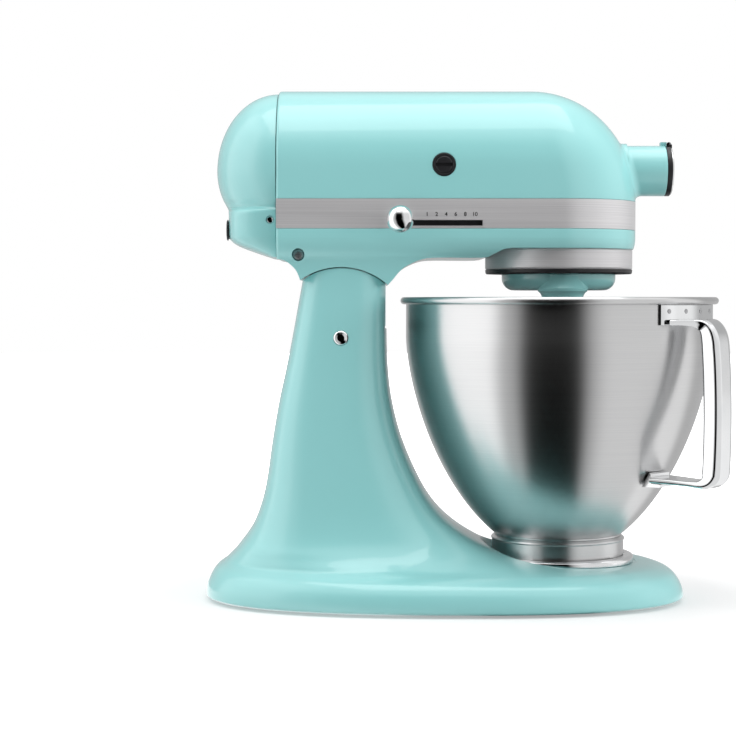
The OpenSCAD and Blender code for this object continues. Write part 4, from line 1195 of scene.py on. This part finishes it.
def make_lights():
    for name, at, size, power, aim, mirrored in LIGHTS:
        lamp = bpy.data.lights.new(name, "AREA")
        lamp.shape = "RECTANGLE"
        lamp.size, lamp.size_y = size
        lamp.energy = power
        obj = new_object(name, lamp)
        obj.location = at
        obj.rotation_euler = (Vector(aim) - Vector(at)).to_track_quat("-Z", "Y").to_euler()
        obj.visible_camera = False
        obj.visible_glossy = mirrored


class Panels(Graph):
    """Soft areas of light, placed by azimuth from -Y towards +X and by elevation, in degrees."""

    def __init__(self, tree, direction):
        super().__init__(tree)
        x, y, z = self.node("SeparateXYZ", {0: direction}).outputs
        self.azimuth = self.math("ARCTAN2", x, self.math("MULTIPLY", y, -1))
        self.elevation = self.math("ARCSINE", z)
        self.level = 0.0

    def window(self, value, low, high, soft):
        """1 between low and high, fading over soft, in degrees."""
        middle_at, half, fade = (math.radians(a) for a in ((low + high) / 2, (high - low) / 2, soft / 2))
        away = self.math("ABSOLUTE", self.math("SUBTRACT", value, middle_at))
        return self.spread(away, 1, 0, half - fade, half + fade, interpolation_type="SMOOTHSTEP")

    def lay(self, strength, azimuths, elevations, soft):
        """Adds strength where both windows are open; None is open all round."""
        mask = 1.0
        for value, window in ((self.azimuth, azimuths), (self.elevation, elevations)):
            if window:
                mask = self.math("MULTIPLY", mask, self.window(value, *window, soft))
        self.level = self.math("ADD", self.level, self.math("MULTIPLY", mask, strength))

    def strength(self):
        return self.math("MAXIMUM", self.level, 0.0)

    def choose(self, ray, usual, special):
        """Shader that is special for one kind of ray."""
        share = self.node("LightPath").outputs[ray]
        return self.node("MixShader", {0: share, 1: usual, 2: special}).outputs[0]


def make_world():
    """Soft panels all round, and pure white where the camera looks past the mixer."""
    world = bpy.data.worlds.new("studio")
    bpy.context.scene.world = world
    world.use_nodes = True
    direction = world.node_tree.nodes.new("ShaderNodeTexCoord").outputs["Generated"]
    panels = Panels(world.node_tree, direction)
    for panel in WORLD_PANELS:
        panels.lay(*panel)
    lit, seen = panels.nodes["Background"], panels.node("Background")
    for background in (lit, seen):
        background.inputs["Color"].default_value = (1, 1, 1, 1)
    panels.feed(lit.inputs["Strength"], panels.strength())
    mixed = panels.choose("Is Camera Ray", lit.outputs[0], seen.outputs[0])
    panels.feed(panels.nodes["World Output"].inputs["Surface"], mixed)


def make_floor():
    """Pale floor that turns pure white away from the mixer; metal mirrors its panels instead."""
    floor = lathe("floor", [(0, 0), (6000, 0), (6000, -5), (0, -5)], turn=96)
    f = Finish("floor", (0.6, 0.6, 0.6), 0, 0.7)
    f.tint(f.noise(3, 2), (0.59, 0.595, 0.6), (0.61, 0.61, 0.61))
    f.set("Emission Color", (1, 1, 1, 1))
    distance = f.length(f.node("TexCoord").outputs["Object"])
    glow = f.spread(distance, FLOOR_NEAR, FLOOR_FAR, 0.2, 0.8)
    share = f.spread(f.node("LightPath").outputs["Is Camera Ray"], FLOOR_BOUNCE, 1, 0, 1)
    f.feed(f.shader.inputs["Emission Strength"], f.math("MULTIPLY", glow, share))
    panels = Panels(f.material.node_tree, f.stretched(centre=bowl_at))
    for panel in FLOOR_PANELS:
        panels.lay(*panel)
    mirrored = f.node("Emission", {"Strength": panels.strength()})
    mixed = panels.choose("Is Glossy Ray", f.shader.outputs[0], mirrored.outputs[0])
    f.feed(f.nodes["Material Output"].inputs["Surface"], mixed)
    floor.data.materials.append(f.material)


bpy.context.scene.view_settings.view_transform = "Standard"
for make in (
    make_camera, make_world, make_lights, make_floor, finish_frame_nodes,
    make_stand, make_feet, make_clamp_plate, make_hinge, make_lock_knob,
    make_bowl, make_bowl_foot, make_handle, make_handle_brackets,
    make_motor_housing, make_gear_housing, make_rear_cover, make_band, make_numbers,
    make_drip_ring, make_brush_caps, make_grommet,
    make_hub_cover, make_lever_knob, make_attachment_knob, make_planetary, make_beater,
):
    make()
